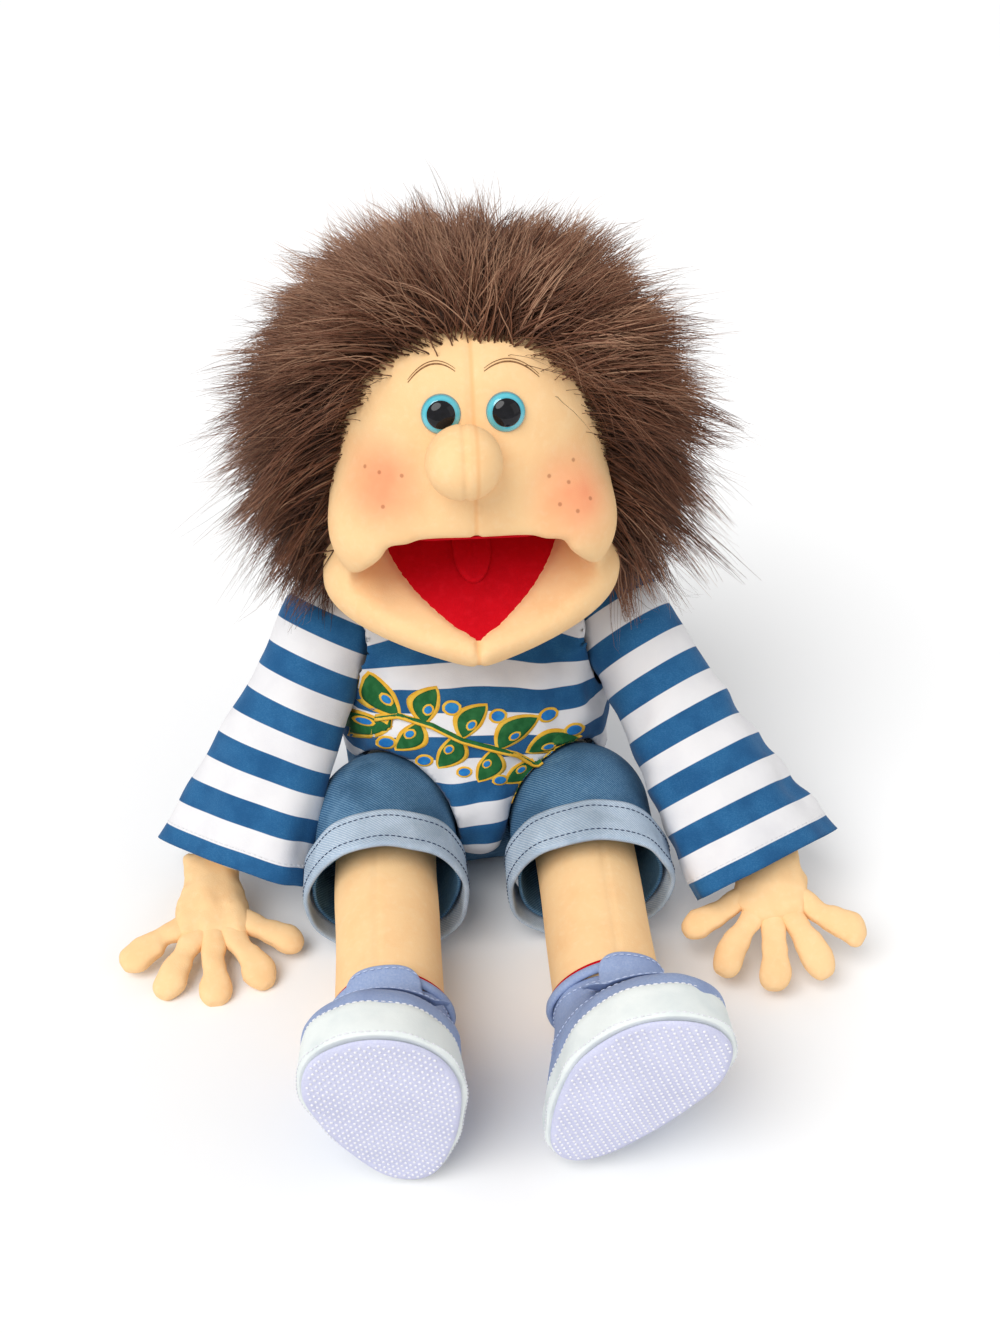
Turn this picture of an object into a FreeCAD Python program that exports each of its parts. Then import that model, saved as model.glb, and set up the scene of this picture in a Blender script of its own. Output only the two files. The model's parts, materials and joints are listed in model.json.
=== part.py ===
import FreeCAD, Part
import os
from FreeCAD import Placement, Rotation, Vector

# A seated, soft-bodied mouth puppet with a moving jaw.  Millimetres, +Z up, the puppet looks along -Y and
# its own left side is +X.  The origin is on the floor under the seat.

doc = FreeCAD.newDocument("mouth_puppet")
sheet = doc.addObject("Spreadsheet::Sheet", "Sizes")

SIZES = [
    ("fabric_gap", 0.6, "air left between two layers of cloth"),
    ("cloth", 2.4, "thickness of a garment layer"),
    ("torso_width", 152, "stuffed body, side to side"),
    ("torso_depth", 124, "stuffed body, front to back"),
    ("torso_height", 163, "seat to the top of the body bag"),
    ("torso_back", 6, "middle of the body bag behind the origin"),
    ("shoulder_out", 86, "shoulder centre from the middle plane"),
    ("shoulder_up", 150, "shoulder centre above the floor"),
    ("shoulder_back", 5, "shoulder centre behind the origin"),
    ("shoulder_room", 12, "room around the armhole for the arm to turn"),
    ("shoulder_ball", 12, "radius of the stuffed shoulder knot"),
    ("sleeve_root", 25, "radius of the sleeve at the armhole"),
    ("sleeve_length", 158, "armhole to hem"),
    ("sleeve_hem_wide", 90, "hem, across"),
    ("sleeve_hem_thick", 46, "hem, front to back"),
    ("arm_root", 19, "radius of the arm at the shoulder"),
    ("arm_wrist", 14, "radius of the arm at the wrist"),
    ("wrist_reach", 167, "shoulder centre to the wrist hinge"),
    ("palm_length", 34, "glove palm, wrist to knuckles"),
    ("palm_width", 44, "glove palm, across"),
    ("palm_thick", 20, "glove palm, through"),
    ("digit_length", 40, "glove finger"),
    ("digit_width", 17, "glove finger, across"),
    ("digit_thick", 11, "glove finger, through"),
    ("knuckle_ring", 26, "palm middle to the finger hinges"),
    ("digit_inset", 3.5, "finger root to its own hinge"),
    ("palm_start", 2, "wrist hinge to the palm"),
    ("hip_out", 58, "hip centre from the middle plane"),
    ("hip_front", 62, "hip centre ahead of the origin"),
    ("hip_up", 52.5, "hip centre above the floor"),
    ("leg_radius", 29, "stuffed leg"),
    ("leg_slope", 5.5, "how far the leg falls towards the ankle, degrees"),
    ("shorts_radius", 42, "trouser leg, outside"),
    ("shorts_length", 48, "hip centre to the end of the trouser leg"),
    ("cuff_radius", 46.5, "turned-up cuff, outside"),
    ("cuff_length", 26, "turned-up cuff, along the leg"),
    ("cuff_reach", 58, "hip centre to the front edge of the cuff"),
    ("shoe_heel", 140, "hip centre to the back of the shoe"),
    ("shoe_depth", 64, "shoe upper, along the leg"),
    ("sole_width", 76, "sole at its widest"),
    ("sole_length", 126, "sole, heel to toe"),
    ("sole_lift", 33, "middle of the sole above the leg axis"),
    ("sole_thick", 5, "non-slip sole"),
    ("bumper_thick", 9, "rubber edge between upper and sole"),
    ("toe_turn_left", 21, "left shoe turned out, degrees"),
    ("toe_turn_right", 5, "right shoe turned out, degrees"),
    ("strap_length", 54, "shoe strap"),
    ("strap_width", 17, "shoe strap"),
    ("strap_thick", 2.5, "shoe strap"),
    ("head_lean", -3, "head set off to the puppet's right"),
    ("hinge_front", 15, "jaw hinge ahead of the origin"),
    ("hinge_up", 238, "jaw hinge above the floor"),
    ("mouth_lift", 16, "upper mouth plate rises forward, degrees"),
    ("jaw_drop", 24, "lower mouth plate falls forward, degrees"),
    ("lip_gap", 1.5, "mouth lining from the hinge plane"),
    ("head_width", 158, "head, side to side"),
    ("head_depth", 174, "head, front to back"),
    ("head_height", 122, "mouth plane to crown"),
    ("skin_wall", 5, "foam-backed head wall"),
    ("nose_radius", 18, "stuffed nose"),
    ("nose_reach", 91, "jaw hinge to the middle of the nose"),
    ("nose_height", 49, "mouth plane to the middle of the nose"),
    ("eye_radius", 9.2, "plastic eye"),
    ("eye_spread", 31, "between the eyes"),
    ("eye_height", 67, "mouth plane to the eyes"),
    ("eye_reach", 76, "jaw hinge to the flat of the eyes"),
    ("hair_width", 236, "long-pile wig, side to side"),
    ("hair_depth", 196, "long-pile wig, front to back"),
    ("hair_height", 206, "long-pile wig, bottom to top"),
    ("entry_radius", 34, "hand entry at the nape"),
    ("entry_height", 42, "mouth plane to the hand entry's axis"),
    ("entry_length", 24, "hand entry cuff"),
    ("board_thick", 3, "stiff mouth board"),
    ("lining_thick", 1.8, "mouth lining"),
    ("jaw_width", 150, "jaw, side to side"),
    ("jaw_reach", 94, "jaw hinge to the chin"),
    ("jaw_depth", 34, "lower mouth plate to the bottom of the jaw"),
    ("jaw_start", 9, "jaw hinge to the back edge of the jaw"),
    ("neck_back", 20, "neck axis behind the origin"),
    ("neck_radius", 24, "neck at the shoulders"),
    ("neck_top", 13, "neck under the head"),
    ("neck_foot", 169, "bottom of the neck above the floor"),
    ("neck_height", 45, "length of the neck"),
]
for row, (alias, number, note) in enumerate(SIZES, start=1):
    sheet.set(f"A{row}", note)
    sheet.set(f"B{row}", str(number))
    sheet.setAlias(f"B{row}", alias)
doc.recompute()
VALUE = {alias: number for alias, number, note in SIZES}
pieces = []


def sized(expression):
    """The expression with every sheet name written as the sheet's own cell."""
    words = str(expression)
    out = ""
    word = ""
    for letter in words + " ":
        if letter.isalpha() or letter == "_":
            word += letter
            continue
        if word:
            out += f"Sizes.{word}" if word in VALUE else word
        word = ""
        out += letter
    return out.strip()


def bind(thing, **sizes):
    for size, expression in sizes.items():
        thing.setExpression(size, sized(expression))
    return thing


def put(thing, x=0, y=0, z=0, turn=None):
    """Places a shape in its own frame: turn is a fixed rotation."""
    thing.Placement = Placement(Vector(0, 0, 0), turn or Rotation())
    for letter, expression in (("x", x), ("y", y), ("z", z)):
        thing.setExpression("Placement.Base." + letter, sized(expression))
    return thing


def ball(name, radius, **spot):
    return put(bind(doc.addObject("Part::Sphere", name), Radius=radius), **spot)


def egg(name, across, deep, tall, **spot):
    """An ellipsoid of the given full width, depth and height."""
    body = doc.addObject("Part::Ellipsoid", name)
    body.Angle1 = -90
    body.Angle2 = 90
    body.Angle3 = 360
    return put(bind(body, Radius1=f"({tall})/2", Radius2=f"({across})/2", Radius3=f"({deep})/2"), **spot)


def rod(name, radius, length, **spot):
    return put(bind(doc.addObject("Part::Cylinder", name), Radius=radius, Height=length), **spot)


def box(name, wide, deep, tall, **spot):
    return put(bind(doc.addObject("Part::Box", name), Length=wide, Width=deep, Height=tall), **spot)


def lofted(name, rings, long_way="x"):
    """A smooth solid through ovals stacked along Z; a ring is height, middle y, half width, half depth."""
    ovals = []
    turn = Rotation(Vector(0, 0, 1), 90 if long_way == "y" else 0)
    for step, (height, middle, half_wide, half_deep) in enumerate(rings):
        oval = doc.addObject("Part::Ellipse", f"{name}_ring_{step}")
        longer, shorter = (half_deep, half_wide) if long_way == "y" else (half_wide, half_deep)
        bind(oval, MajorRadius=longer, MinorRadius=shorter)
        ovals.append(put(oval, y=middle, z=height, turn=turn))
    skin = doc.addObject("Part::Loft", name)
    skin.Sections = ovals
    skin.Solid = True
    return skin


def cut(name, base, *tools):
    for step, tool in enumerate(tools):
        last = step == len(tools) - 1
        result = doc.addObject("Part::Cut", name if last else f"{name}_step_{step}")
        result.Base = base
        result.Tool = tool
        base = result
    return base


def fuse(name, first, second):
    result = doc.addObject("Part::Fuse", name)
    result.Base = first
    result.Tool = second
    return result


def piece(label, thing, frame=None):
    """Gives a finished sub-part its name, and its place when it was made in a frame of its own."""
    thing.Label = label
    if frame:
        doc.recompute()
        for letter in "xyz":
            thing.setExpression("Placement.Base." + letter, None)
        thing.Placement = frame.multiply(thing.Placement)
    pieces.append(thing)
    return thing


LEFT = 1
RIGHT = -1
SIDES = (("left", LEFT), ("right", RIGHT))
head_spot = Vector(VALUE["head_lean"], -VALUE["hinge_front"], VALUE["hinge_up"])
HEAD = Placement(head_spot, Rotation(Vector(1, 0, 0), -VALUE["mouth_lift"]))
JAW = Placement(head_spot, Rotation(Vector(1, 0, 0), VALUE["jaw_drop"]))


# ---- torso and the clothes on it -------------------------------------------------------------------------
def torso_rings(grow, low, high):
    """Ovals of the body bag, let out by grow, between the shares low and high of its height."""
    profile = [(0.02, 0.80, 0.86, 4), (0.16, 0.97, 0.98, 0), (0.28, 0.99, 0.99, 0), (0.42, 1.0, 1.0, 0), (0.66, 0.97, 0.94, 1),
               (0.84, 0.86, 0.78, 5), (0.95, 0.62, 0.58, 9), (1.0, 0.44, 0.44, 10)]
    rings = []
    for share, wide, deep, back in profile:
        if low <= share <= high:
            rings.append((f"torso_height*{share}", f"torso_back+{back}",
                          f"torso_width*{wide}/2+{grow}", f"torso_depth*{deep}/2+{grow}"))
    return rings


def torso_clearances(name):
    """Room for both hips and both shoulders to turn."""
    hips = rod(f"{name}_hips", "shorts_radius+2", "torso_width*2", x="-torso_width", y="-hip_front", z="hip_up",
               turn=Rotation(Vector(0, 1, 0), 90))
    tools = [hips]
    for side, sign in SIDES:
        tools.append(ball(f"{name}_{side}", "sleeve_root+cloth+shoulder_room", x=f"{sign}*shoulder_out",
                          y="shoulder_back", z="shoulder_up"))
    return tools


bag = lofted("torso_bag_form", torso_rings("0", 0, 1))
piece("torso_bag", cut("torso_bag", bag, *torso_clearances("bag_room")))

seat_out = lofted("shorts_seat_out", [("0", "torso_back+4", "torso_width*0.4+cloth", "torso_depth*0.42+cloth")]
                  + torso_rings("cloth+fabric_gap", 0.1, 0.5))
seat_in = lofted("shorts_seat_in", torso_rings("fabric_gap", 0, 1))
piece("shorts_seat", cut("shorts_seat", seat_out, seat_in, *torso_clearances("seat_room")))

WAIST_RINGS = [("torso_height*0.43", "torso_back", "torso_width/2", "torso_depth/2"),
               ("torso_height*0.49", "torso_back", "torso_width/2", "torso_depth/2")]


def waist_rings(grow, raise_by):
    first, last = WAIST_RINGS
    low = (f"{first[0]}-{raise_by}", first[1], f"{first[2]}+{grow}", f"{first[3]}+{grow}")
    high = (f"{last[0]}+{raise_by}", last[1], f"{last[2]}+{grow}", f"{last[3]}+{grow}")
    return [low, high]


band = cut("shorts_waistband", lofted("waistband_out", waist_rings("cloth+fabric_gap", "0")),
           lofted("waistband_in", waist_rings("fabric_gap", "1")), *torso_clearances("band_room"))
piece("shorts_waistband", band)

shirt_out = lofted("shirt_out", torso_rings("cloth*2+fabric_gap*3", 0.28, 0.95))
shirt_in = lofted("shirt_in", torso_rings("cloth+fabric_gap*3", 0.16, 1))
piece("shirt_body", cut("shirt_body", shirt_out, shirt_in, *torso_clearances("shirt_room")))

neckband_out = rod("neckband_out", "neck_radius+14", "4", y="neck_back", z="torso_height+1")
neckband_in = rod("neckband_in", "neck_radius+9", "6", y="neck_back", z="torso_height")
piece("shirt_neckband", cut("shirt_neckband", neckband_out, neckband_in))

neck = doc.addObject("Part::Cone", "neck_tube")
bind(neck, Radius1="neck_radius", Radius2="neck_top", Height="neck_height")
piece("neck_tube", put(neck, x="head_lean/2", y="neck_back", z="neck_foot"))

# ---- head: everything here is made about the jaw hinge, with the upper mouth plate level -----------------
HEAD_PROFILE = [(0.0, 0.94, 0.92, 4), (0.2, 1.0, 0.98, 5), (0.45, 0.99, 1.0, 6), (0.7, 0.9, 0.91, 8),
                (0.88, 0.68, 0.69, 9), (1.0, 0.34, 0.36, 8)]


def head_rings(grow, sink=0):
    """Ovals of the head, let out by grow; sink carries the lowest one below the mouth plane."""
    rings = []
    for share, wide, deep, back in HEAD_PROFILE:
        drop = sink if share == 0 else 0
        lift = grow if share == 1 else "0"
        rings.append((f"lip_gap-{drop}+head_height*{share}+{lift}", back,
                      f"head_width*{wide}/2+{grow}", f"head_depth*{deep}/2+{grow}"))
    return rings


head_form = lofted("head_form", head_rings("0"), "y")
head_hollow = lofted("head_hollow", head_rings("(0-skin_wall)", 4), "y")
entry_hole = rod("entry_hole", "entry_radius+3.5", "90", y="40", z="entry_height",
                 turn=Rotation(Vector(1, 0, 0), -90))
piece("head_shell", cut("head_shell", head_form, head_hollow, entry_hole), HEAD)

base_form = lofted("base_form", [("lip_gap", 4, "head_width*0.94/2-skin_wall-1", "head_depth*0.92/2-skin_wall-1"),
                                 ("lip_gap+3", 4, "head_width*0.94/2-skin_wall-1",
                                  "head_depth*0.92/2-skin_wall-1")], "y")
base_front = box("base_front", "300", "200", "20", x="-150", y="-198", z="-5")
piece("head_base", cut("head_base", base_form, base_front), HEAD)

nose = ball("nose_form", "nose_radius", y="-nose_reach", z="nose_height")
piece("nose_ball", cut("nose_ball", nose, head_form), HEAD)

for side, sign in SIDES:
    middle = f"{sign}*eye_spread/2"
    dome = egg(f"eye_dome_{side}", "eye_radius*2", "10", "eye_radius*2", x=middle, y="-eye_reach", z="eye_height")
    shank = rod(f"eye_shank_{side}", "2.2", "16", x=middle, y="-eye_reach", z="eye_height",
                turn=Rotation(Vector(1, 0, 0), -90))
    pupil = egg(f"pupil_form_{side}", "eye_radius*1.7", "10.6", "eye_radius*1.7", x=middle, y="-eye_reach-0.5",
                z="eye_height")
    piece(f"eye_{side}", fuse(f"eye_{side}", dome, shank), HEAD)
    piece(f"eye_pupil_{side}", cut(f"eye_pupil_{side}", pupil, dome), HEAD)
    washer_disc = rod(f"washer_disc_{side}", "7", "1.5", x=middle, y="-eye_reach+9", z="eye_height",
                      turn=Rotation(Vector(1, 0, 0), -90))
    washer_hole = rod(f"washer_hole_{side}", "2.4", "4", x=middle, y="-eye_reach+8", z="eye_height",
                      turn=Rotation(Vector(1, 0, 0), -90))
    piece(f"eye_washer_{side}", cut(f"eye_washer_{side}", washer_disc, washer_hole), HEAD)

hair = egg("hair_form", "hair_width", "hair_depth", "hair_height", y="hair_depth*0.17", z="head_height*0.5")
hair_room = lofted("hair_room", head_rings("1", 60), "y")
face_room = box("face_room", "400", "200", "400", x="-200", y="-232", z="-200")
jaw_room = box("jaw_room", "jaw_width+14", "300", "100", x="-(jaw_width+14)/2", y="-264", z="-76")
nape_room = box("nape_room", "400", "400", "200", x="-200", y="-200", z="-214")
hair_hole = rod("hair_hole", "entry_radius+4", "140", y="40", z="entry_height", turn=Rotation(Vector(1, 0, 0), -90))
piece("wig", cut("wig", hair, hair_room, face_room, jaw_room, nape_room, hair_hole), HEAD)

cuff_start = "head_depth/2-6"
cuff_tube = rod("cuff_tube", "entry_radius+3", "entry_length", y=cuff_start, z="entry_height",
                turn=Rotation(Vector(1, 0, 0), -90))
cuff_bore = rod("cuff_bore", "entry_radius", "entry_length+4", y=cuff_start + "-2", z="entry_height",
                turn=Rotation(Vector(1, 0, 0), -90))
piece("hand_entry_cuff", cut("hand_entry_cuff", cuff_tube, cuff_bore), HEAD)


def mouth_plate(label, half_wide, reach, low, high, frame):
    """A half-oval plate from the hinge forward, between the heights low and high."""
    oval = lofted(f"{label}_oval", [(low, 0, half_wide, reach), (high, 0, half_wide, reach)], "y")
    behind = box(f"{label}_behind", "300", "200", "60", x="-150", y="-2.5", z="-30")
    piece(label, cut(label, oval, behind), frame)


plate_wide = "head_width*0.47-skin_wall-2"
plate_reach = "head_depth*0.46-skin_wall-6"
mouth_plate("upper_mouth_lining", plate_wide, plate_reach, "lip_gap", "lip_gap+lining_thick", HEAD)
mouth_plate("upper_mouth_board", plate_wide, plate_reach, "lip_gap+lining_thick+0.2",
            "lip_gap+lining_thick+0.2+board_thick", HEAD)


def grip_strap(label, radius, length, forward, height, downward, frame):
    """A half-round elastic loop that holds the fingers or the thumb against a mouth board."""
    flip = Rotation(Vector(1, 0, 0), 90)
    outer = rod(f"{label}_outer", f"{radius}+cloth", length, y=forward, z=height, turn=flip)
    inner = rod(f"{label}_inner", radius, f"{length}+4", y=f"{forward}+2", z=height, turn=flip)
    base = f"{height}" if downward else f"{height}-80"
    half = box(f"{label}_half", "120", "120", "80", x="-60", y=f"{forward}-80", z=base)
    piece(label, cut(label, outer, inner, half), frame)


strap_base = "lip_gap+lining_thick+0.4+board_thick"
grip_strap("finger_strap", "25", "22", "-22", strap_base, False, HEAD)

# ---- jaw: made about the same hinge, with the lower mouth plate level ------------------------------------
def jaw_rings(grow, lift=0):
    profile = [(0.0, 0.98, 0.9), (0.4, 1.0, 1.0), (0.78, 0.84, 0.86), (1.0, 0.56, 0.6)]
    rings = []
    for share, wide, deep in profile:
        raised = lift if share == 0 else 0
        trim = "skin_wall" if share == 1 and lift else "0"
        rings.append((f"{raised}+{trim}-lip_gap-jaw_depth*{share}", 0, f"jaw_width*{wide}/2+{grow}",
                      f"jaw_reach*{deep}+{grow}"))
    return rings


jaw_form = lofted("jaw_form", jaw_rings("0"), "y")
jaw_hollow = lofted("jaw_hollow", jaw_rings("(0-skin_wall)", 3), "y")
jaw_behind = box("jaw_behind", "300", "200", "120", x="-150", y="-jaw_start", z="-80")
piece("jaw_shell", cut("jaw_shell", jaw_form, jaw_hollow, jaw_behind), JAW)
jaw_plate_wide = "jaw_width*0.49-skin_wall-2"
jaw_plate_reach = "jaw_reach*0.9-skin_wall-2"
mouth_plate("lower_mouth_lining", jaw_plate_wide, jaw_plate_reach, "-lip_gap-lining_thick", "-lip_gap", JAW)
mouth_plate("lower_mouth_board", jaw_plate_wide, jaw_plate_reach, "-lip_gap-lining_thick-0.2-board_thick",
            "-lip_gap-lining_thick-0.2", JAW)
tongue = egg("tongue", "20", "38", "3.6", y="-31", z="0.4-lip_gap+1.6")
piece("tongue", tongue, JAW)
grip_strap("thumb_strap", "15", "14", "-26", f"0-({strap_base})", True, JAW)

# ---- arms and glove hands --------------------------------------------------------------------------------
ARM_DIRECTION = {"left": (0.47, -0.65, -0.60), "right": (0.45, -0.47, -0.75)}
HAND_DIRECTION = {"left": (-0.1, -0.9, -0.44), "right": (-0.06, -0.97, -0.22)}
DIGITS = ("thumb", "index", "middle", "ring", "little")
DIGIT_STEP = 30


def limb_frame(spot, direction, sign):
    """A frame whose Z runs along the limb and whose X is level across it."""
    along = Vector(sign * direction[0], direction[1], direction[2]).normalize()
    across = Vector(0, 0, 1).cross(along).normalize()
    return Placement(spot, Rotation(across, along.cross(across), along, "ZXY"))


for side, sign in SIDES:
    shoulder = Vector(sign * VALUE["shoulder_out"], VALUE["shoulder_back"], VALUE["shoulder_up"])
    ARM = limb_frame(shoulder, ARM_DIRECTION[side], sign)
    wrist = ARM.multVec(Vector(0, 0, VALUE["wrist_reach"]))
    HAND = limb_frame(wrist, HAND_DIRECTION[side], sign)
    piece(f"shoulder_ball_{side}", ball(f"shoulder_ball_{side}", "shoulder_ball"), Placement(shoulder, Rotation()))
    arm_form = lofted(f"arm_form_{side}", [("2", 0, "arm_root", "arm_root"),
                                           ("wrist_reach*0.5", 0, "arm_root", "arm_root*0.9"),
                                           ("wrist_reach-14", 0, "arm_wrist", "arm_wrist*0.8")])
    arm_room = ball(f"arm_room_{side}", "shoulder_ball+1")
    piece(f"arm_{side}", cut(f"arm_{side}", arm_form, arm_room), ARM)
    half_out = "sleeve_hem_wide/2"
    half_up = "sleeve_hem_thick/2"
    sleeve_out = lofted(f"sleeve_out_{side}", [
        ("-8", 0, "sleeve_root", "sleeve_root"), ("sleeve_length*0.3", 0, "sleeve_root*1.12", "sleeve_root"),
        ("sleeve_length*0.7", 0, f"{half_out}*0.88", f"{half_up}*1.15"), ("sleeve_length", 0, half_out, half_up)])
    sleeve_in = lofted(f"sleeve_in_{side}", [
        ("-9", 0, "sleeve_root-cloth", "sleeve_root-cloth"),
        ("sleeve_length*0.3", 0, "sleeve_root*1.12-cloth", "sleeve_root-cloth"),
        ("sleeve_length*0.7", 0, f"{half_out}*0.88-cloth", f"{half_up}*1.15-cloth"),
        ("sleeve_length+1", 0, f"{half_out}-cloth", f"{half_up}-cloth")])
    piece(f"sleeve_{side}", cut(f"sleeve_{side}", sleeve_out, sleeve_in), ARM)
    piece(f"palm_{side}", egg(f"palm_{side}", "palm_width", "palm_thick", "palm_length", z="palm_length/2+palm_start"), HAND)
    palm_middle = Placement(Vector(0, 0, VALUE["palm_length"] / 2 + VALUE["palm_start"]), Rotation())
    for place, digit in enumerate(DIGITS):
        fan = Placement(Vector(0, 0, 0), Rotation(Vector(0, 1, 0), (place - 2) * DIGIT_STEP * sign))
        finger = egg(f"{digit}_{side}", "digit_width", "digit_thick", "digit_length",
                     z="knuckle_ring-digit_inset+digit_length/2")
        piece(f"{digit}_{side}", finger, HAND.multiply(palm_middle).multiply(fan))

# ---- legs, trouser legs and shoes ------------------------------------------------------------------------
for side, sign in SIDES:
    hip = Vector(sign * VALUE["hip_out"], -VALUE["hip_front"], VALUE["hip_up"])
    LEG = Placement(hip, Rotation(Vector(1, 0, 0), 90 + VALUE["leg_slope"]))
    SHOE = LEG.multiply(Placement(Vector(0, 0, 0), Rotation(Vector(0, 0, 1), -sign * VALUE[f"toe_turn_{side}"])))
    leg_form = fuse(f"leg_form_{side}", ball(f"leg_root_{side}", "leg_radius"),
                    rod(f"leg_tube_{side}", "leg_radius", "shoe_heel-1"))
    piece(f"leg_{side}", leg_form, LEG)
    short_form = fuse(f"short_form_{side}", ball(f"short_root_{side}", "shorts_radius"),
                      rod(f"short_tube_{side}", "shorts_radius", "shorts_length"))
    short_room = rod(f"short_room_{side}", "shorts_radius-cloth", "shorts_length*3", z="-shorts_length")
    short_back = rod(f"short_back_{side}", "shorts_radius", "30", z="-shorts_radius-14")
    piece(f"shorts_leg_{side}", cut(f"shorts_leg_{side}", short_form, short_room, short_back), LEG)
    cuff_out = rod(f"cuff_out_{side}", "cuff_radius", "cuff_length", z="cuff_reach-cuff_length")
    cuff_in = rod(f"cuff_in_{side}", "shorts_radius+fabric_gap", "cuff_length+2", z="cuff_reach-cuff_length-1")
    piece(f"shorts_cuff_{side}", cut(f"shorts_cuff_{side}", cuff_out, cuff_in), LEG)
    half_sole = "sole_width/2"
    half_foot = "sole_length/2"
    upper = lofted(f"upper_form_{side}", [
        ("shoe_heel", 0, "leg_radius", "leg_radius+1"),
        ("shoe_heel+shoe_depth*0.2", 3, f"{half_sole}*0.82", f"{half_foot}*0.54"),
        ("shoe_heel+shoe_depth*0.46", 12, f"{half_sole}*0.88", f"{half_foot}*0.7"),
        ("shoe_heel+shoe_depth*0.72", 24, f"{half_sole}*0.95", f"{half_foot}*0.87"),
        ("shoe_heel+shoe_depth", "sole_lift-1", f"{half_sole}*0.97", f"{half_foot}*0.97")], "y")
    piece(f"shoe_upper_{side}", upper, SHOE)
    edge = "shoe_heel+shoe_depth+0.3"
    bumper = lofted(f"bumper_form_{side}", [(edge, "sole_lift", half_sole, half_foot),
                                            (edge + "+bumper_thick", "sole_lift", half_sole, half_foot)], "y")
    piece(f"shoe_bumper_{side}", bumper, SHOE)
    tread = lofted(f"sole_form_{side}", [
        (edge + "+bumper_thick+0.3", "sole_lift", f"{half_sole}-1.5", f"{half_foot}-1.5"),
        (edge + "+bumper_thick+0.3+sole_thick", "sole_lift", f"{half_sole}-2.5", f"{half_foot}-2.5")], "y")
    piece(f"shoe_sole_{side}", tread, SHOE)
    flap = box(f"strap_form_{side}", "strap_length", "strap_width", "strap_thick", x="-strap_length/2",
               y="-strap_width/2", z="0")
    lean = Placement(Vector(0, 64, VALUE["shoe_heel"] + 25), Rotation(Vector(1, 0, 0), -128))
    piece(f"shoe_strap_{side}", flap, SHOE.multiply(lean))

doc.recompute()
for thing in doc.Objects:
    assert "Invalid" not in thing.State and "Error" not in thing.State, thing.Name
os.makedirs("parts", exist_ok=True)
for thing in pieces:
    shape = thing.Shape
    assert not shape.isNull() and shape.isValid(), thing.Label
    shape.exportStep(f"parts/{thing.Label}.step")
    print(thing.Label, len(shape.Solids), round(shape.Volume))
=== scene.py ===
import json
import math

import bpy
import numpy as np
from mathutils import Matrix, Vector
from mathutils.bvhtree import BVHTree


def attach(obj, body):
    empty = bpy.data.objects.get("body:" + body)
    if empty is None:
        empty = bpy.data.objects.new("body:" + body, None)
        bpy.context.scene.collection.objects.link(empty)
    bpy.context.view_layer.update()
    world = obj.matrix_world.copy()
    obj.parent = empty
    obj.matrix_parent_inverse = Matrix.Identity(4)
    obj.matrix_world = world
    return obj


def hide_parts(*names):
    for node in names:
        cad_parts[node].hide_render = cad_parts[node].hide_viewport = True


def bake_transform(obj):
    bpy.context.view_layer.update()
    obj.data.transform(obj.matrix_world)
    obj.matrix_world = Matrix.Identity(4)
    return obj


# The looks of a seated mouth puppet.  +Z is up, the puppet looks along -Y and its own left is +X.
# Shapes are worked out in millimetres, in the shared frame or in the head's, the jaw's or a limb's own,
# and are placed in metres.  Points in materials are in metres.

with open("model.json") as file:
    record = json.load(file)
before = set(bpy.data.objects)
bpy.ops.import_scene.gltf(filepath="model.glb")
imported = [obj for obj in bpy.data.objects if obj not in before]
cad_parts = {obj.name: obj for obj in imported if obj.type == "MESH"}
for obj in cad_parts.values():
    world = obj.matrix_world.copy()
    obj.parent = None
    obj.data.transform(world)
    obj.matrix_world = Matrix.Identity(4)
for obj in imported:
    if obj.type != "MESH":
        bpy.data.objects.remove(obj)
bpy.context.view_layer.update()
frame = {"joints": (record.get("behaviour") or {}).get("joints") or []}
joints = {joint["name"]: joint for joint in frame["joints"]}
MM = 0.001
SIDES = (("left", 1), ("right", -1))

# ---- frames ----------------------------------------------------------------------------------------------
MOUTH_LIFT = 16
JAW_DROP = 24
HINGE = np.array(joints["jaw_open"]["pos_m"]) / MM
HEAD_MIDDLE = HINGE[0]


def turn_x(degrees):
    c = math.cos(math.radians(degrees))
    s = math.sin(math.radians(degrees))
    return np.array([[1, 0, 0], [0, c, -s], [0, s, c]])


def turn_y(degrees):
    c = math.cos(math.radians(degrees))
    s = math.sin(math.radians(degrees))
    return np.array([[c, 0, s], [0, 1, 0], [-s, 0, c]])


def turn_z(degrees):
    c = math.cos(math.radians(degrees))
    s = math.sin(math.radians(degrees))
    return np.array([[c, -s, 0], [s, c, 0], [0, 0, 1]])


HEAD_TURN = turn_x(-MOUTH_LIFT)
JAW_TURN = turn_x(JAW_DROP)


def to_world(points, turn, spot):
    return np.asarray(points, float) @ turn.T + spot


def to_local(points, turn, spot):
    return (np.asarray(points, float) - spot) @ turn


# ---- small maths -----------------------------------------------------------------------------------------
def unit(v):
    return v / np.maximum(np.linalg.norm(v, axis=-1, keepdims=True), 1e-9)


def ramp(x, low, high):
    t = np.clip((x - low) / (high - low), 0, 1)
    return t * t * (3 - 2 * t)


def soft_min(a, b, k):
    h = np.clip(0.5 + 0.5 * (b - a) / k, 0, 1)
    return b + (a - b) * h - k * h * (1 - h)


def soft_max(a, b, k):
    return -soft_min(-a, -b, k)


def wobble(points, size, seed, waves=9):
    """Smooth noise from a few sine waves, about -1 to 1, of the given wavelength."""
    draw = np.random.default_rng(seed)
    total = np.zeros(points.shape[:-1])
    for _ in range(waves):
        way = unit(draw.normal(size=3))
        rate = 2 * math.pi / (size * draw.uniform(0.7, 1.5))
        total += np.sin(points @ way * rate + draw.uniform(0, 2 * math.pi))
    return total / math.sqrt(waves) * 0.8


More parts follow.
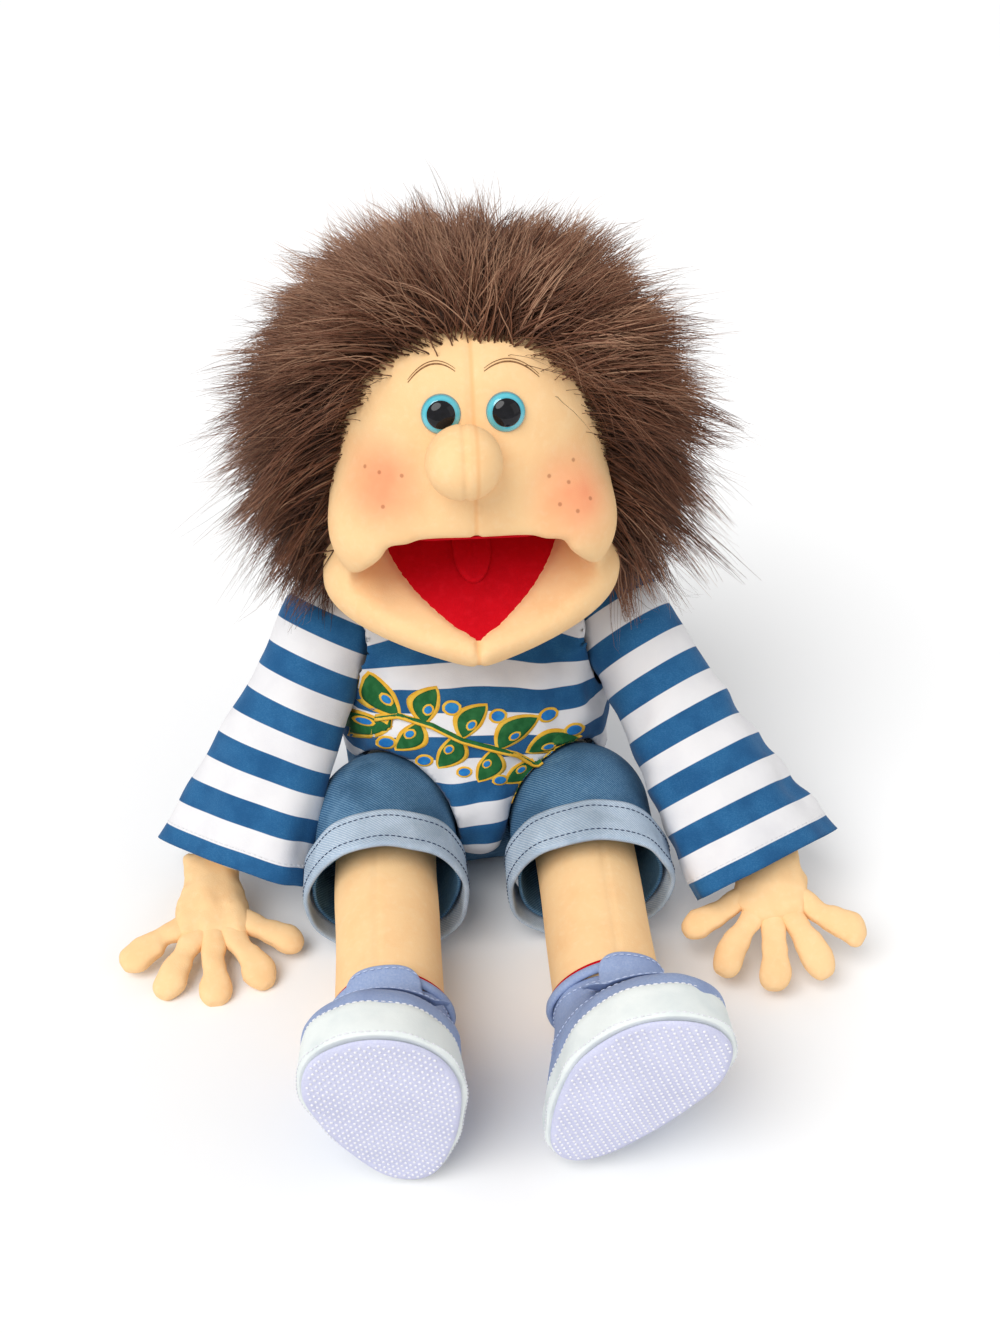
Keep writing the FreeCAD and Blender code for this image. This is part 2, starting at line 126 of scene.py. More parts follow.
def capsule(points, a, b, radius_a, radius_b):
    a = np.asarray(a, float)
    b = np.asarray(b, float)
    along = b - a
    t = np.clip((points - a) @ along / (along @ along), 0, 1)
    gap = points - a - t[..., None] * along
    return np.linalg.norm(gap, axis=-1) - (radius_a + (radius_b - radius_a) * t)


# ---- meshes ----------------------------------------------------------------------------------------------
def fill_mesh(mesh, points, groups):
    """Fills a mesh from points and arrays of faces, each array with faces of one size."""
    mesh.vertices.add(len(points))
    mesh.vertices.foreach_set("co", points.astype(np.float32).ravel())
    corners = np.concatenate([group.ravel() for group in groups]).astype(np.int32)
    mesh.loops.add(len(corners))
    mesh.loops.foreach_set("vertex_index", corners)
    sizes = np.concatenate([np.full(len(group), group.shape[1]) for group in groups])
    mesh.polygons.add(len(sizes))
    mesh.polygons.foreach_set("loop_start", (np.cumsum(sizes) - sizes).astype(np.int32))
    mesh.update(calc_edges=True)


def make_piece(name, points, faces, material, attributes=None):
    """A smooth mesh object from points in millimetres in the shared frame.

    Faces are a list, an array of faces of one size, or a tuple of such arrays.  The attribute rest keeps each
    point's place in metres, because the materials are laid out by it.
    """
    mesh = bpy.data.meshes.new(name)
    points = np.asarray(points, float) * MM
    if isinstance(faces, list):
        mesh.from_pydata(points.tolist(), [], faces)
    else:
        fill_mesh(mesh, points, [faces] if isinstance(faces, np.ndarray) else faces)
    mesh.validate()
    for key, values in (attributes or {}).items():
        kept = mesh.attributes.new(key, "FLOAT", "POINT")
        kept.data.foreach_set("value", np.asarray(values, np.float32))
    rest = mesh.attributes.new("rest", "FLOAT_VECTOR", "POINT")
    rest.data.foreach_set("vector", points.astype(np.float32).ravel())
    mesh.polygons.foreach_set("use_smooth", np.ones(len(mesh.polygons), bool))
    piece = bpy.data.objects.new(name, mesh)
    bpy.context.scene.collection.objects.link(piece)
    mesh.materials.append(material)
    return piece


def dress(piece, body, slot, *nodes, fill=None):
    """Hangs a piece on what it rides on and hides the CAD nodes it stands for; slot and fill are not used."""
    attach(piece, body)
    if nodes:
        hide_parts(*nodes)
    return piece


def grid_points(low, high, step):
    sides = [np.arange(a, b + step, step) for a, b in zip(low, high)]
    return np.stack(np.meshgrid(*sides, indexing="ij"), -1)


def surface_net(field, low, step):
    """Vertices and quads of the surface where a sampled field is zero; the inside is below zero."""
    inside = field < 0
    shape = np.array(field.shape) - 1
    size = int(np.prod(shape))
    sums = np.zeros((size, 3))
    hits = np.zeros(size)
    quads = []
    for axis in range(3):
        others = [k for k in range(3) if k != axis]
        near = [slice(None)] * 3
        far = [slice(None)] * 3
        near[axis] = slice(0, -1)
        far[axis] = slice(1, None)
        near, far = tuple(near), tuple(far)
        cross = inside[near] != inside[far]
        where = np.argwhere(cross)
        a = field[near][cross]
        b = field[far][cross]
        spot = where.astype(float)
        spot[:, axis] += a / (a - b)
        ring = []
        for d1, d2 in ((0, 0), (-1, 0), (-1, -1), (0, -1)):
            cell = where.copy()
            cell[:, others[0]] += d1
            cell[:, others[1]] += d2
            good = ((cell >= 0) & (cell < shape)).all(1)
            flat = np.where(good, np.ravel_multi_index(np.clip(cell, 0, shape - 1).T, shape), -1)
            ring.append(flat)
            kept = flat[good]
            hits += np.bincount(kept, minlength=size)
            for k in range(3):
                sums[:, k] += np.bincount(kept, weights=spot[good][:, k], minlength=size)
        quad = np.stack(ring, 1)
        flip = inside[near][cross] == (axis == 1)
        quad[flip] = quad[flip][:, ::-1]
        quads.append(quad[(quad >= 0).all(1)])
    quads = np.concatenate(quads)
    used = hits > 0
    index = np.cumsum(used) - 1
    points = sums[used] / hits[used][:, None] * step + np.asarray(low)
    return points, index[quads]


def relax(points, quads, rounds, keep=0.5):
    """Evens out a mesh by moving each point towards the mean of its neighbours."""
    pairs = np.concatenate([quads[:, [k, (k + 1) % quads.shape[1]]] for k in range(quads.shape[1])])
    pairs = np.concatenate([pairs, pairs[:, ::-1]])
    count = np.bincount(pairs[:, 0], minlength=len(points))[:, None]
    for _ in range(rounds):
        mean = np.stack([np.bincount(pairs[:, 0], weights=points[pairs[:, 1], k], minlength=len(points))
                         for k in range(3)], 1) / np.maximum(count, 1)
        points = points * keep + mean * (1 - keep)
    return points


def normals_of(points, quads):
    a = points[quads[:, 0]]
    face = np.cross(points[quads[:, 1]] - a, points[quads[:, 2]] - a)
    total = np.zeros_like(points)
    for corner in range(quads.shape[1]):
        for k in range(3):
            total[:, k] += np.bincount(quads[:, corner], weights=face[:, k], minlength=len(points))
    return unit(total)


def net_piece(name, shape, low, high, step, turn, spot, material, rounds=3, finish=None):
    """A piece from a distance-like function of points in a local frame."""
    points, quads = surface_net(shape(grid_points(low, high, step)), low, step)
    points = relax(points, quads, rounds)
    if finish:
        points = finish(points, normals_of(points, quads))
    return make_piece(name, to_world(points, turn, spot), quads, material)


def tube(path, radius, sides=8, closed_ends=True, flat=1.0, up=(0, 0, 1)):
    """Vertices and quads of a round or flattened rod along a path; radius may change along it."""
    path = np.asarray(path, float)
    radius = np.broadcast_to(np.asarray(radius, float), (len(path),))
    along = unit(np.gradient(path, axis=0))
    side = unit(np.cross(along, np.asarray(up, float)))
    top = np.cross(side, along)
    angle = np.linspace(0, 2 * math.pi, sides, endpoint=False)
    ring = (np.cos(angle)[None, :, None] * side[:, None] + flat * np.sin(angle)[None, :, None] * top[:, None])
    points = (path[:, None] + ring * radius[:, None, None]).reshape(-1, 3)
    i, j = np.meshgrid(np.arange(len(path) - 1), np.arange(sides), indexing="ij")
    here = i * sides + j
    there = i * sides + (j + 1) % sides
    quads = np.stack([here, here + sides, there + sides, there], -1).reshape(-1, 4)
    faces = quads.tolist()
    if closed_ends:
        faces.append(list(range(sides)))
        faces.append(list(range(len(points) - 1, len(points) - 1 - sides, -1)))
    return points, faces


def join(parts):
    """One list of vertices and faces from several."""
    points = []
    faces = []
    start = 0
    for vertices, polygons in parts:
        points.append(np.asarray(vertices, float))
        faces.extend([[corner + start for corner in polygon] for polygon in polygons])
        start += len(vertices)
    return np.concatenate(points), faces


def slab_faces(rows, columns, flip=False):
    """Faces of a thin slab: an upper grid of points, as large a lower one, and the walls between them."""
    count = rows * columns
    faces = []
    for i in range(rows - 1):
        for j in range(columns - 1):
            a = i * columns + j
            upper = [a, a + 1, a + columns + 1, a + columns]
            lower = [a, a + columns, a + columns + 1, a + 1]
            if flip:
                upper, lower = lower, upper
            faces.append(upper)
            faces.append([corner + count for corner in lower])
    border = (list(range(columns)) + [i * columns + columns - 1 for i in range(1, rows)]
              + [(rows - 1) * columns + j for j in range(columns - 2, -1, -1)]
              + [i * columns for i in range(rows - 2, 0, -1)])
    for here, there in zip(border, border[1:] + border[:1]):
        a, b = (here, there) if flip else (there, here)
        faces.append([a, b, b + count, a + count])
    return faces


# ---- materials -------------------------------------------------------------------------------------------
class Look:
    """A node material, built up a step at a time."""

    def __init__(self, name, colour, roughness=0.85, sheen=0.0, coat=0.0, specular=0.3, sheen_tint=None):
        self.material = bpy.data.materials.new(name)
        self.material.use_nodes = True
        self.nodes = self.material.node_tree.nodes
        self.links = self.material.node_tree.links
        self.shader = self.nodes["Principled BSDF"]
        self.shader.inputs["Base Color"].default_value = (*colour, 1)
        self.shader.inputs["Roughness"].default_value = roughness
        self.shader.inputs["Specular IOR Level"].default_value = specular
        self.shader.inputs["Sheen Weight"].default_value = sheen
        self.shader.inputs["Sheen Roughness"].default_value = 0.4
        self.shader.inputs["Sheen Tint"].default_value = (*(sheen_tint or colour), 1)
        self.shader.inputs["Coat Weight"].default_value = coat
        self.place = self.node("ShaderNodeAttribute", attribute_name="rest").outputs["Vector"]
        self.colour = None
        self.height = None

    def node(self, kind, **settings):
        made = self.nodes.new(kind)
        for key, value in settings.items():
            setattr(made, key, value)
        return made

    def use_object_place(self):
        self.place = self.node("ShaderNodeTexCoord").outputs["Object"]
        return self

    def number(self, name):
        return self.node("ShaderNodeAttribute", attribute_name=name).outputs["Fac"]

    def maths(self, how, a, b=0.0, c=0.0):
        made = self.node("ShaderNodeMath", operation=how)
        for socket, value in zip(made.inputs, (a, b, c)):
            if isinstance(value, (int, float)):
                socket.default_value = value
            else:
                self.links.new(value, socket)
        return made.outputs[0]

    def noise(self, scale, detail=3.0, rough=0.5, place=None, stretch=None):
        made = self.node("ShaderNodeTexNoise")
        made.inputs["Scale"].default_value = scale
        made.inputs["Detail"].default_value = detail
        made.inputs["Roughness"].default_value = rough
        source = place or self.place
        if stretch:
            mapping = self.node("ShaderNodeMapping")
            mapping.inputs["Scale"].default_value = stretch
            self.links.new(source, mapping.inputs["Vector"])
            source = mapping.outputs[0]
        self.links.new(source, made.inputs["Vector"])
        return made.outputs["Fac"]

    def scaled(self, value, low, high, out_low=0.0, out_high=1.0, smooth=False):
        made = self.node("ShaderNodeMapRange", clamp=True)
        if smooth:
            made.interpolation_type = "SMOOTHSTEP"
        made.inputs["From Min"].default_value = low
        made.inputs["From Max"].default_value = high
        made.inputs["To Min"].default_value = out_low
        made.inputs["To Max"].default_value = out_high
        self.links.new(value, made.inputs["Value"])
        return made.outputs["Result"]

    def paint(self, colour, amount):
        """Lays a colour over what is there, by an amount that is a socket or a number."""
        mix = self.node("ShaderNodeMix", data_type="RGBA")
        base = mix.inputs[6]
        if self.colour is None:
            base.default_value = self.shader.inputs["Base Color"].default_value
        else:
            self.links.new(self.colour, base)
        mix.inputs[7].default_value = (*colour, 1)
        if isinstance(amount, (int, float)):
            mix.inputs[0].default_value = amount
        else:
            self.links.new(amount, mix.inputs[0])
        self.colour = mix.outputs[2]
        return self

    def mottle(self, colour, pattern, low, high, amount=1.0):
        """Lays a colour on where a pattern is high: none below low, the whole amount above high."""
        return self.paint(colour, self.scaled(pattern, low, high, 0.0, amount))

    def raise_by(self, height, strength, distance=0.0004):
        """Adds a bump."""
        bump = self.node("ShaderNodeBump")
        bump.inputs["Strength"].default_value = strength
        bump.inputs["Distance"].default_value = distance
        self.links.new(height, bump.inputs["Height"])
        if self.height is not None:
            self.links.new(self.height, bump.inputs["Normal"])
        self.height = bump.outputs["Normal"]
        return self

    def spot(self, centre, radius, soft):
        """1 near a point in metres, 0 away from it."""
        away = self.node("ShaderNodeVectorMath", operation="DISTANCE")
        self.links.new(self.place, away.inputs[0])
        away.inputs[1].default_value = [float(c) for c in centre]
        return self.scaled(away.outputs["Value"], radius, radius * soft, 1.0, 0.0, smooth=True)

    def done(self):
        if self.colour is not None:
            self.links.new(self.colour, self.shader.inputs["Base Color"])
        if self.height is not None:
            self.links.new(self.height, self.shader.inputs["Normal"])
        return self.material


SKIN = (0.95, 0.63, 0.325)
SKIN_SHADE = (0.90, 0.50, 0.22)
SKIN_LIGHT = (0.97, 0.70, 0.41)
MOUTH_RED = (0.60, 0.002, 0.010)
MOUTH_SHADE = (0.42, 0.001, 0.006)
MOUTH_LIGHT = (0.72, 0.01, 0.025)
FOLD_RED = (0.42, 0.004, 0.008)
BLUSH_RED = (0.86, 0.24, 0.12)
FRECKLE_BROWN = (0.32, 0.1, 0.04)
CALICO = (0.72, 0.66, 0.55)
CALICO_LIGHT = (0.80, 0.75, 0.65)


def velour(name, colour, shade, deep=None):
    look = Look(name, colour, roughness=0.9, sheen=0.22, specular=0.12)
    look.mottle(shade, look.noise(55, 4), 0.45, 0.75, 0.4)
    look.mottle(deep or shade, look.noise(260, 2), 0.5, 0.75, 0.35)
    look.raise_by(look.noise(1500, 2, 0.7), 0.35, 0.0004)
    look.raise_by(look.noise(320, 3, 0.6), 0.2, 0.0006)
    return look



# ---- head ------------------------------------------------------------------------------------------------
EGG_CENTRE = np.array([0.0, 7.0, 45.0])
SCALP = 76
# How high the middle of the hand opening is at the back.
NAPE_HEIGHT = 42


def egg(p):
    """About the distance to the bare head, in the head's frame: the upper mouth plate is z = 0."""
    x = np.abs(p[..., 0]) / 79
    v = np.abs(p[..., 1] - EGG_CENTRE[1]) / 87
    w = p[..., 2] - EGG_CENTRE[2]
    w = np.where(w > 0, w / 78, -w / 100)
    ring = (x ** 2.3 + v ** 2.3) ** (1 / 2.3)
    return ((ring ** 2.6 + w ** 2.6) ** (1 / 2.6) - 1) * SCALP


def face_upper(p):
    """Skull and cheeks above the mouth, in the head's frame."""
    shape = egg(p)
    for sign in (-1, 1):
        cheek = np.linalg.norm((p - np.array([sign * 45, -48, 5])) / np.array([1, 1, 1.05]), axis=-1) - 29.5
        shape = soft_min(shape, cheek, 14)
    lobe = 0.95 * np.clip(np.abs(p[..., 0]) - 42, 0, 40) * ramp(-p[..., 1], -10, 25)
    return soft_max(shape, -(p[..., 2] + lobe), 6)


JAW_REACH = 95


def jaw_half_width(forward):
    s = np.clip((forward - 35) / 60, 0, 1)
    return 80.5 * (1 - s ** 1.8) ** 0.85 - np.clip(35 - forward, 0, 60) * 0.12


def mouth_half_width(forward):
    s = np.clip(forward / 84, 0, 1)
    return 50 * (1 - s ** 1.9) ** 0.9


def jaw_solid(p):
    """Lower lip and chin, in the jaw's frame: the lower mouth plate is z = 0."""
    forward = -p[..., 1]
    lean = 1 / np.sqrt(1 + (1.35 * ramp(forward, 35, 85)) ** 2)
    outline = np.maximum((np.abs(p[..., 0]) - jaw_half_width(forward)) * lean, forward - JAW_REACH)
    middle = -13 + forward / JAW_REACH * 6
    half = 16 - forward / JAW_REACH * 6
    edge = 11
    a = outline + edge
    b = np.abs(p[..., 2] - middle) - half + edge
    shape = np.hypot(np.maximum(a, 0), np.maximum(b, 0)) + np.minimum(np.maximum(a, b), 0) - edge
    return np.maximum(shape, -(forward + 12))


def face_shape(world):
    up = to_local(world, HEAD_TURN, HINGE)
    low = to_local(world, JAW_TURN, HINGE)
    tuck = 3.5 + 14 * ramp(np.abs(up[..., 0]), 50, 68)
    shape = soft_min(face_upper(up), jaw_solid(low), tuck)
    inside = np.abs(low[..., 0]) - mouth_half_width(-low[..., 1])
    wedge = np.maximum(inside, np.maximum(-2 - low[..., 2], up[..., 2] - 3))
    wedge = np.maximum(wedge, -(-low[..., 1] - 3))
    shape = soft_max(shape, -wedge, 5)
    open_front = np.maximum(np.abs(low[..., 0]) - 45, np.maximum(3 - low[..., 2], up[..., 2]))
    open_front = np.maximum(open_front, 6 + low[..., 1])
    shape = soft_max(shape, -open_front, 5)
    hollow = soft_max(egg(up) + 6, 7 - up[..., 2], 4)
    entry = np.maximum(np.hypot(up[..., 0], up[..., 2] - NAPE_HEIGHT) - 38, 40 - up[..., 1])
    return np.maximum(shape, -np.minimum(hollow, entry))


def seam_groove(points, normals):
    """Sinks the sewn middle seam of the face and the chin."""
    across = np.exp(-((points[:, 0] - HEAD_MIDDLE) / 1.5) ** 2)
    front = ramp(-normals[:, 1], 0.0, 0.3)
    return points - normals * (across * front * 1.3)[:, None]


def skin_look(name):
    look = velour(name, SKIN, SKIN_SHADE, SKIN_LIGHT)
    for x, y, z, radius in BLUSH:
        near = look.spot((x, y, z), 0.002, radius)
        cloud = look.maths("MULTIPLY", near, look.scaled(look.noise(60, 2), 0.2, 0.8, 0.5, 0.8))
        look.paint(BLUSH_RED, cloud)
    for x, y, z in FRECKLES:
        look.paint(FRECKLE_BROWN, look.maths("MULTIPLY", look.spot((x, y, z), 0.0006, 2.4), 0.55))
    seam = look.node("ShaderNodeSeparateXYZ")
    look.links.new(look.place, seam.inputs[0])
    off = look.maths("ABSOLUTE", look.maths("SUBTRACT", seam.outputs[0], HEAD_MIDDLE * MM))
    # Painted shade along the sunk middle seam: the skin is darkened in a band about 3 mm wide.
    look.paint(SKIN_SHADE, look.scaled(off, 0.0003, 0.0016, 0.7, 0.0))
    # The red lining goes on round the fold at the back of the mouth.
    squares = []
    for axis in (1, 2):
        away = look.maths("SUBTRACT", seam.outputs[axis], float(HINGE[axis]) * MM)
        squares.append(look.maths("MULTIPLY", away, away))
    from_fold = look.maths("POWER", look.maths("ADD", *squares), 0.5)
    near_fold = look.scaled(from_fold, 0.0130, 0.0138, 1.0, 0.0)
    look.paint(FOLD_RED, look.maths("MULTIPLY", near_fold, look.scaled(off, 0.0500, 0.0506, 1.0, 0.0)))
    return look.done()


face_low = np.array([HEAD_MIDDLE - 92, -122.0, 160.0])
face_high = np.array([HEAD_MIDDLE + 92, 92.0, 372.0])
FACE_STEP = 2.0
field = face_shape(grid_points(face_low, face_high, FACE_STEP))
face_points, face_quads = surface_net(field, face_low, FACE_STEP)
face_points = relax(face_points, face_quads, 4)
face_points = seam_groove(face_points, normals_of(face_points, face_quads))
face_tree = BVHTree.FromPolygons([Vector(p) for p in face_points], face_quads.tolist())


def on_face(across, height, offset=0.0):
    """The point on the face straight ahead of a place on it, in the head's frame, and the normal there."""
    start = to_world([[across, -200, height]], HEAD_TURN, HINGE)[0]
    way = HEAD_TURN @ np.array([0, 1.0, 0])
    spot, normal, _, _ = face_tree.ray_cast(Vector(start), Vector(way))
    if spot is None:
        spot, normal, _, _ = face_tree.find_nearest(Vector(start))
    if normal.dot(Vector(way)) > 0:
        normal = -normal
    return np.array(spot) + np.array(normal) * offset, np.array(normal)


BLUSH_PLACES = ((-46, 33), (51, 24))
BLUSH_SPREAD = 17.0
FRECKLE_PLACES = ((-54, 40), (-47, 38), (-36, 37), (-46, 22),
                  (37, 34), (50, 40), (47, 30), (58, 21), (42, 20), (51, 16))
BLUSH = []
for across, height in BLUSH_PLACES:
    BLUSH.append((*(on_face(across, height)[0] * MM), BLUSH_SPREAD))
FRECKLES = []
for across, height in FRECKLE_PLACES:
    FRECKLES.append(tuple(on_face(across, height)[0] * MM))
skin = skin_look("skin_velour")
face = make_piece("face_skin", face_points, face_quads, skin)
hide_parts("head_shell", "jaw_shell", "head_base")

plain_skin = velour("limb_velour", SKIN, SKIN_SHADE, SKIN_LIGHT).done()
FOLD_REACH = 50
HEAD_FOLD = to_world([[0, -FOLD_REACH, 6]], HEAD_TURN, HINGE)[0] * MM
JAW_FOLD = to_world([[0, -FOLD_REACH, -2]], JAW_TURN, HINGE)[0] * MM


# ---- nose, brows and eyes --------------------------------------------------------------------------------
NOSE = np.array([-6.0, -92.0, 46.5])
NOSE_RADIUS = 19.0
EYE_APART = 15.8
EYE_HEIGHT = 67.5
EYE_RADIUS = 9.9
EYE_DEPTH = 6.2
PUPIL_SHARE = 0.70


def build_nose():
    def shape(p):
        away = (p - NOSE) / np.array([1.0, 0.97, 0.98])
        return np.linalg.norm(away, axis=-1) - NOSE_RADIUS

    def finish(points, normals):
        across = np.exp(-((points[:, 0] - NOSE[0]) / 1.3) ** 2)
        gather = ramp(points[:, 1], NOSE[1] + 4, NOSE[1] + 17) * wobble(points, 13, 3) * 0.7
        return points - normals * (across + gather)[:, None]

    nose = net_piece("nose", shape, NOSE - 22, NOSE + 22, 1.1, HEAD_TURN, HINGE, skin, 2, finish)
    dress(nose, "head", "skin_velour", "nose_ball", fill=0.9)


def build_brows():
    """Fine painted brow lines laid on the forehead."""
    brown = Look("brow_paint", (0.20, 0.09, 0.03), roughness=0.8)
    brown.mottle((0.34, 0.18, 0.08), brown.noise(900), 0.4, 0.7)
    material = brown.done()
    strokes = []
    for start, crest, end, lift in ((-31, -17, -8, 84), (6, 17, 33, 84)):
        for shift, width in ((0.0, 0.42), (1.3, 0.25)):
            across = np.linspace(start, end, 22)
            reach = (end - start) / 2
            height = lift + 6.5 - 9 * ((across - crest) / reach * 0.8) ** 2 + shift
            path = np.array([on_face(x, z, 0.12)[0] for x, z in zip(across, height)])
            taper = width * (0.35 + 0.65 * np.sin(np.linspace(0.15, math.pi - 0.1, 22)))
            strokes.append(tube(path, taper, 6, up=(0.3, -1, 0.4)))
    vertices, faces = join(strokes)
    brows = make_piece("brows", vertices, faces, material)
    dress(brows, "head", "eye_black")


def lathe(profile, turns=48):
    """A closed turned shape about local Y; the profile is radius and y from the front to the back."""
    profile = np.asarray(profile, float)
    angle = np.linspace(0, 2 * math.pi, turns, endpoint=False)
    points = [[0, profile[0][1], 0]]
    for radius, y in profile[1:-1]:
        ring = np.stack([radius * np.cos(angle), np.full(turns, y), radius * np.sin(angle)], 1)
        points.extend(ring.tolist())
    points.append([0, profile[-1][1], 0])
    rings = len(profile) - 2
    faces = [[0, 1 + k, 1 + (k + 1) % turns] for k in range(turns)]
    for ring in range(rings - 1):
        a = 1 + ring * turns
        for k in range(turns):
            faces.append([a + k, a + turns + k, a + turns + (k + 1) % turns, a + (k + 1) % turns])
    last = len(points) - 1
    a = 1 + (rings - 1) * turns
    faces.extend([[last, a + (k + 1) % turns, a + k] for k in range(turns)])
    return np.array(points), faces


def build_eyes():
    blue = Look("eye_blue", (0.02, 0.30, 0.42), roughness=0.12, coat=1.0, specular=0.6)
    split = blue.number("ring")
    blue.mottle((0.10, 0.55, 0.66), split, 0.62, 0.80)
    blue.mottle((0.01, 0.16, 0.26), split, 0.90, 0.99)
    blue_look = blue.done()
    black = Look("eye_black", (0.003, 0.003, 0.004), roughness=0.07, coat=0.1, specular=0.3)
    black.mottle((0.02, 0.02, 0.03), black.noise(300), 0.3, 0.8, 0.4)
    black_look = black.done()
    for side, sign in SIDES:
        middle, normal = on_face(sign * EYE_APART, EYE_HEIGHT, -1.0)
        look_at = unit(normal * 0.5 + HEAD_TURN @ np.array([0.0, -1.0, 0.06]))
        across = unit(np.cross(look_at, [0, 0, 1.0]))
        frame_axes = np.stack([across, -look_at, np.cross(across, -look_at)], 1)
        t = np.linspace(0, math.pi / 2, 20)
        front = [(EYE_RADIUS * math.sin(a), -EYE_DEPTH * math.cos(a)) for a in t]
        points, faces = lathe(front + [(EYE_RADIUS, 1.2), (EYE_RADIUS * 0.8, 2.4), (0, 2.6)])
        ring = np.hypot(points[:, 0], points[:, 2]) / EYE_RADIUS
        dome = make_piece(f"eye_{side}_dome", to_world(points, frame_axes, middle), faces, blue_look,
                          attributes={"ring": ring})
        dress(dome, "head", "eye_blue", f"eye_{side}")
        pupil_radius = EYE_RADIUS * PUPIL_SHARE
        front = []
        for a in np.linspace(0, math.asin(PUPIL_SHARE), 14):
            raised = 0.35 * (1 - (math.sin(a) / PUPIL_SHARE) ** 6)
            front.append((EYE_RADIUS * math.sin(a), -EYE_DEPTH * math.cos(a) - raised))
        points, faces = lathe(front + [(pupil_radius * 0.9, -3.4), (0, -3.2)])
        pupil = make_piece(f"eye_{side}_pupil", to_world(points, frame_axes, middle), faces, black_look)
        dress(pupil, "head", "eye_black", f"eye_pupil_{side}")


# ---- mouth -----------------------------------------------------------------------------------------------
def plate_points(half_width, reach, start, crown, thick, height, inset, rings=26, spokes=61):
    """A crowned half-oval pad: half_width gives its half width at each reach forward."""
    forward = start + (reach - start) * np.linspace(0, 1, rings) ** 0.85
    spread = np.linspace(-1, 1, spokes)
    wide = np.maximum(half_width(forward) - inset, 0.2)
    x = spread[None, :] * wide[:, None]
    y = np.repeat(-forward[:, None], spokes, 1)
    edge = np.minimum(1 - np.abs(spread)[None, :] ** 4, 1) * (1 - ramp(forward, reach - 8, reach))[:, None]
    top = height + crown * edge
    upper = np.stack([x, y, top], -1).reshape(-1, 3)
    lower = np.stack([x, y, np.full_like(x, height - thick)], -1).reshape(-1, 3)
    return np.concatenate([upper, lower]), slab_faces(rings, spokes)


def red_velour():
    return velour("mouth_velour", MOUTH_RED, MOUTH_SHADE, MOUTH_LIGHT).done()


def build_mouth():
    red = red_velour()
    points, faces = plate_points(mouth_half_width, 83.5, 1.5, 0.6, 1.4, -1.2, -1.0)
    lower = make_piece("lower_mouth_velour", to_world(points, JAW_TURN, HINGE), faces, red)
    dress(lower, "jaw", "mouth_velour", "lower_mouth_lining", fill=0.6)

    def upper_half_width(forward):
        return 60 * np.sqrt(np.clip(1 - (forward / 80) ** 2.4, 0, 1))

    points, faces = plate_points(upper_half_width, 72, 1.5, 0.4, 1.2, -0.6, 3.0)
    points[:, 2] = -points[:, 2] + 2.2
    faces = [face[::-1] for face in faces]
    upper = make_piece("upper_mouth_velour", to_world(points, HEAD_TURN, HINGE), faces, red)
    dress(upper, "head", "mouth_velour", "upper_mouth_lining", fill=0.6)

    def tongue_shape(p):
        forward = -p[..., 1]
        half = 10.5 * np.sqrt(np.clip(1 - (np.clip(forward - 26, 0, 60) / 23) ** 2, 0.0004, 1))
        a = np.abs(p[..., 0]) / half
        b = np.abs(p[..., 2] - 0.9) / (2.4 - 0.7 * np.exp(-(p[..., 0] / 1.5) ** 2))
        shape = ((a ** 2.4 + b ** 2.4) ** (1 / 2.4) - 1) * 2.4
        return np.maximum(shape, np.maximum(forward - 49, 6 - forward))

    low, high = np.array([-13.0, -52.0, -3.0]), np.array([13.0, -3.0, 5.0])
    tongue = net_piece("tongue_velour", tongue_shape, low, high, 0.8, JAW_TURN, HINGE, red)
    dress(tongue, "jaw", "mouth_velour", "tongue", fill=0.6)


# ---- hair ------------------------------------------------------------------------------------------------
def hairline(height):
    """How far back the hair starts at a height above the mouth plate, in the head's frame."""
    return -29 - 31 * np.clip(height / 67, 0, 1) - 7 * np.clip((height - 67) / 32, 0, 1)


def scalp_point(ways, lift=0.0):
    """The point on the bare head, or lift outside it, in a direction from its middle."""
    ways = unit(ways)
    reach = SCALP / (egg(EGG_CENTRE + ways * SCALP) + SCALP)
    return EGG_CENTRE + ways * (SCALP * reach + lift)[..., None]


def scalp_normal(points):
    step = 0.5
    slope = [egg(points + np.eye(3)[k] * step) - egg(points - np.eye(3)[k] * step) for k in range(3)]
    return unit(np.stack(slope, -1))


PARTING = np.array([5.0, -70.0, 97.0])
HAIR_BOTTOM = 166
# Past these the tips are drawn in, so that the hair keeps near the wig's own box.
HAIR_BACK = 134
HAIR_TOP = 389


def flow_over(points, normals):
    """The lie of the hair: away from the parting at the top of the forehead, along the scalp."""
    away = points - PARTING
    away = away - (away * normals).sum(-1, keepdims=True) * normals
    return unit(away)


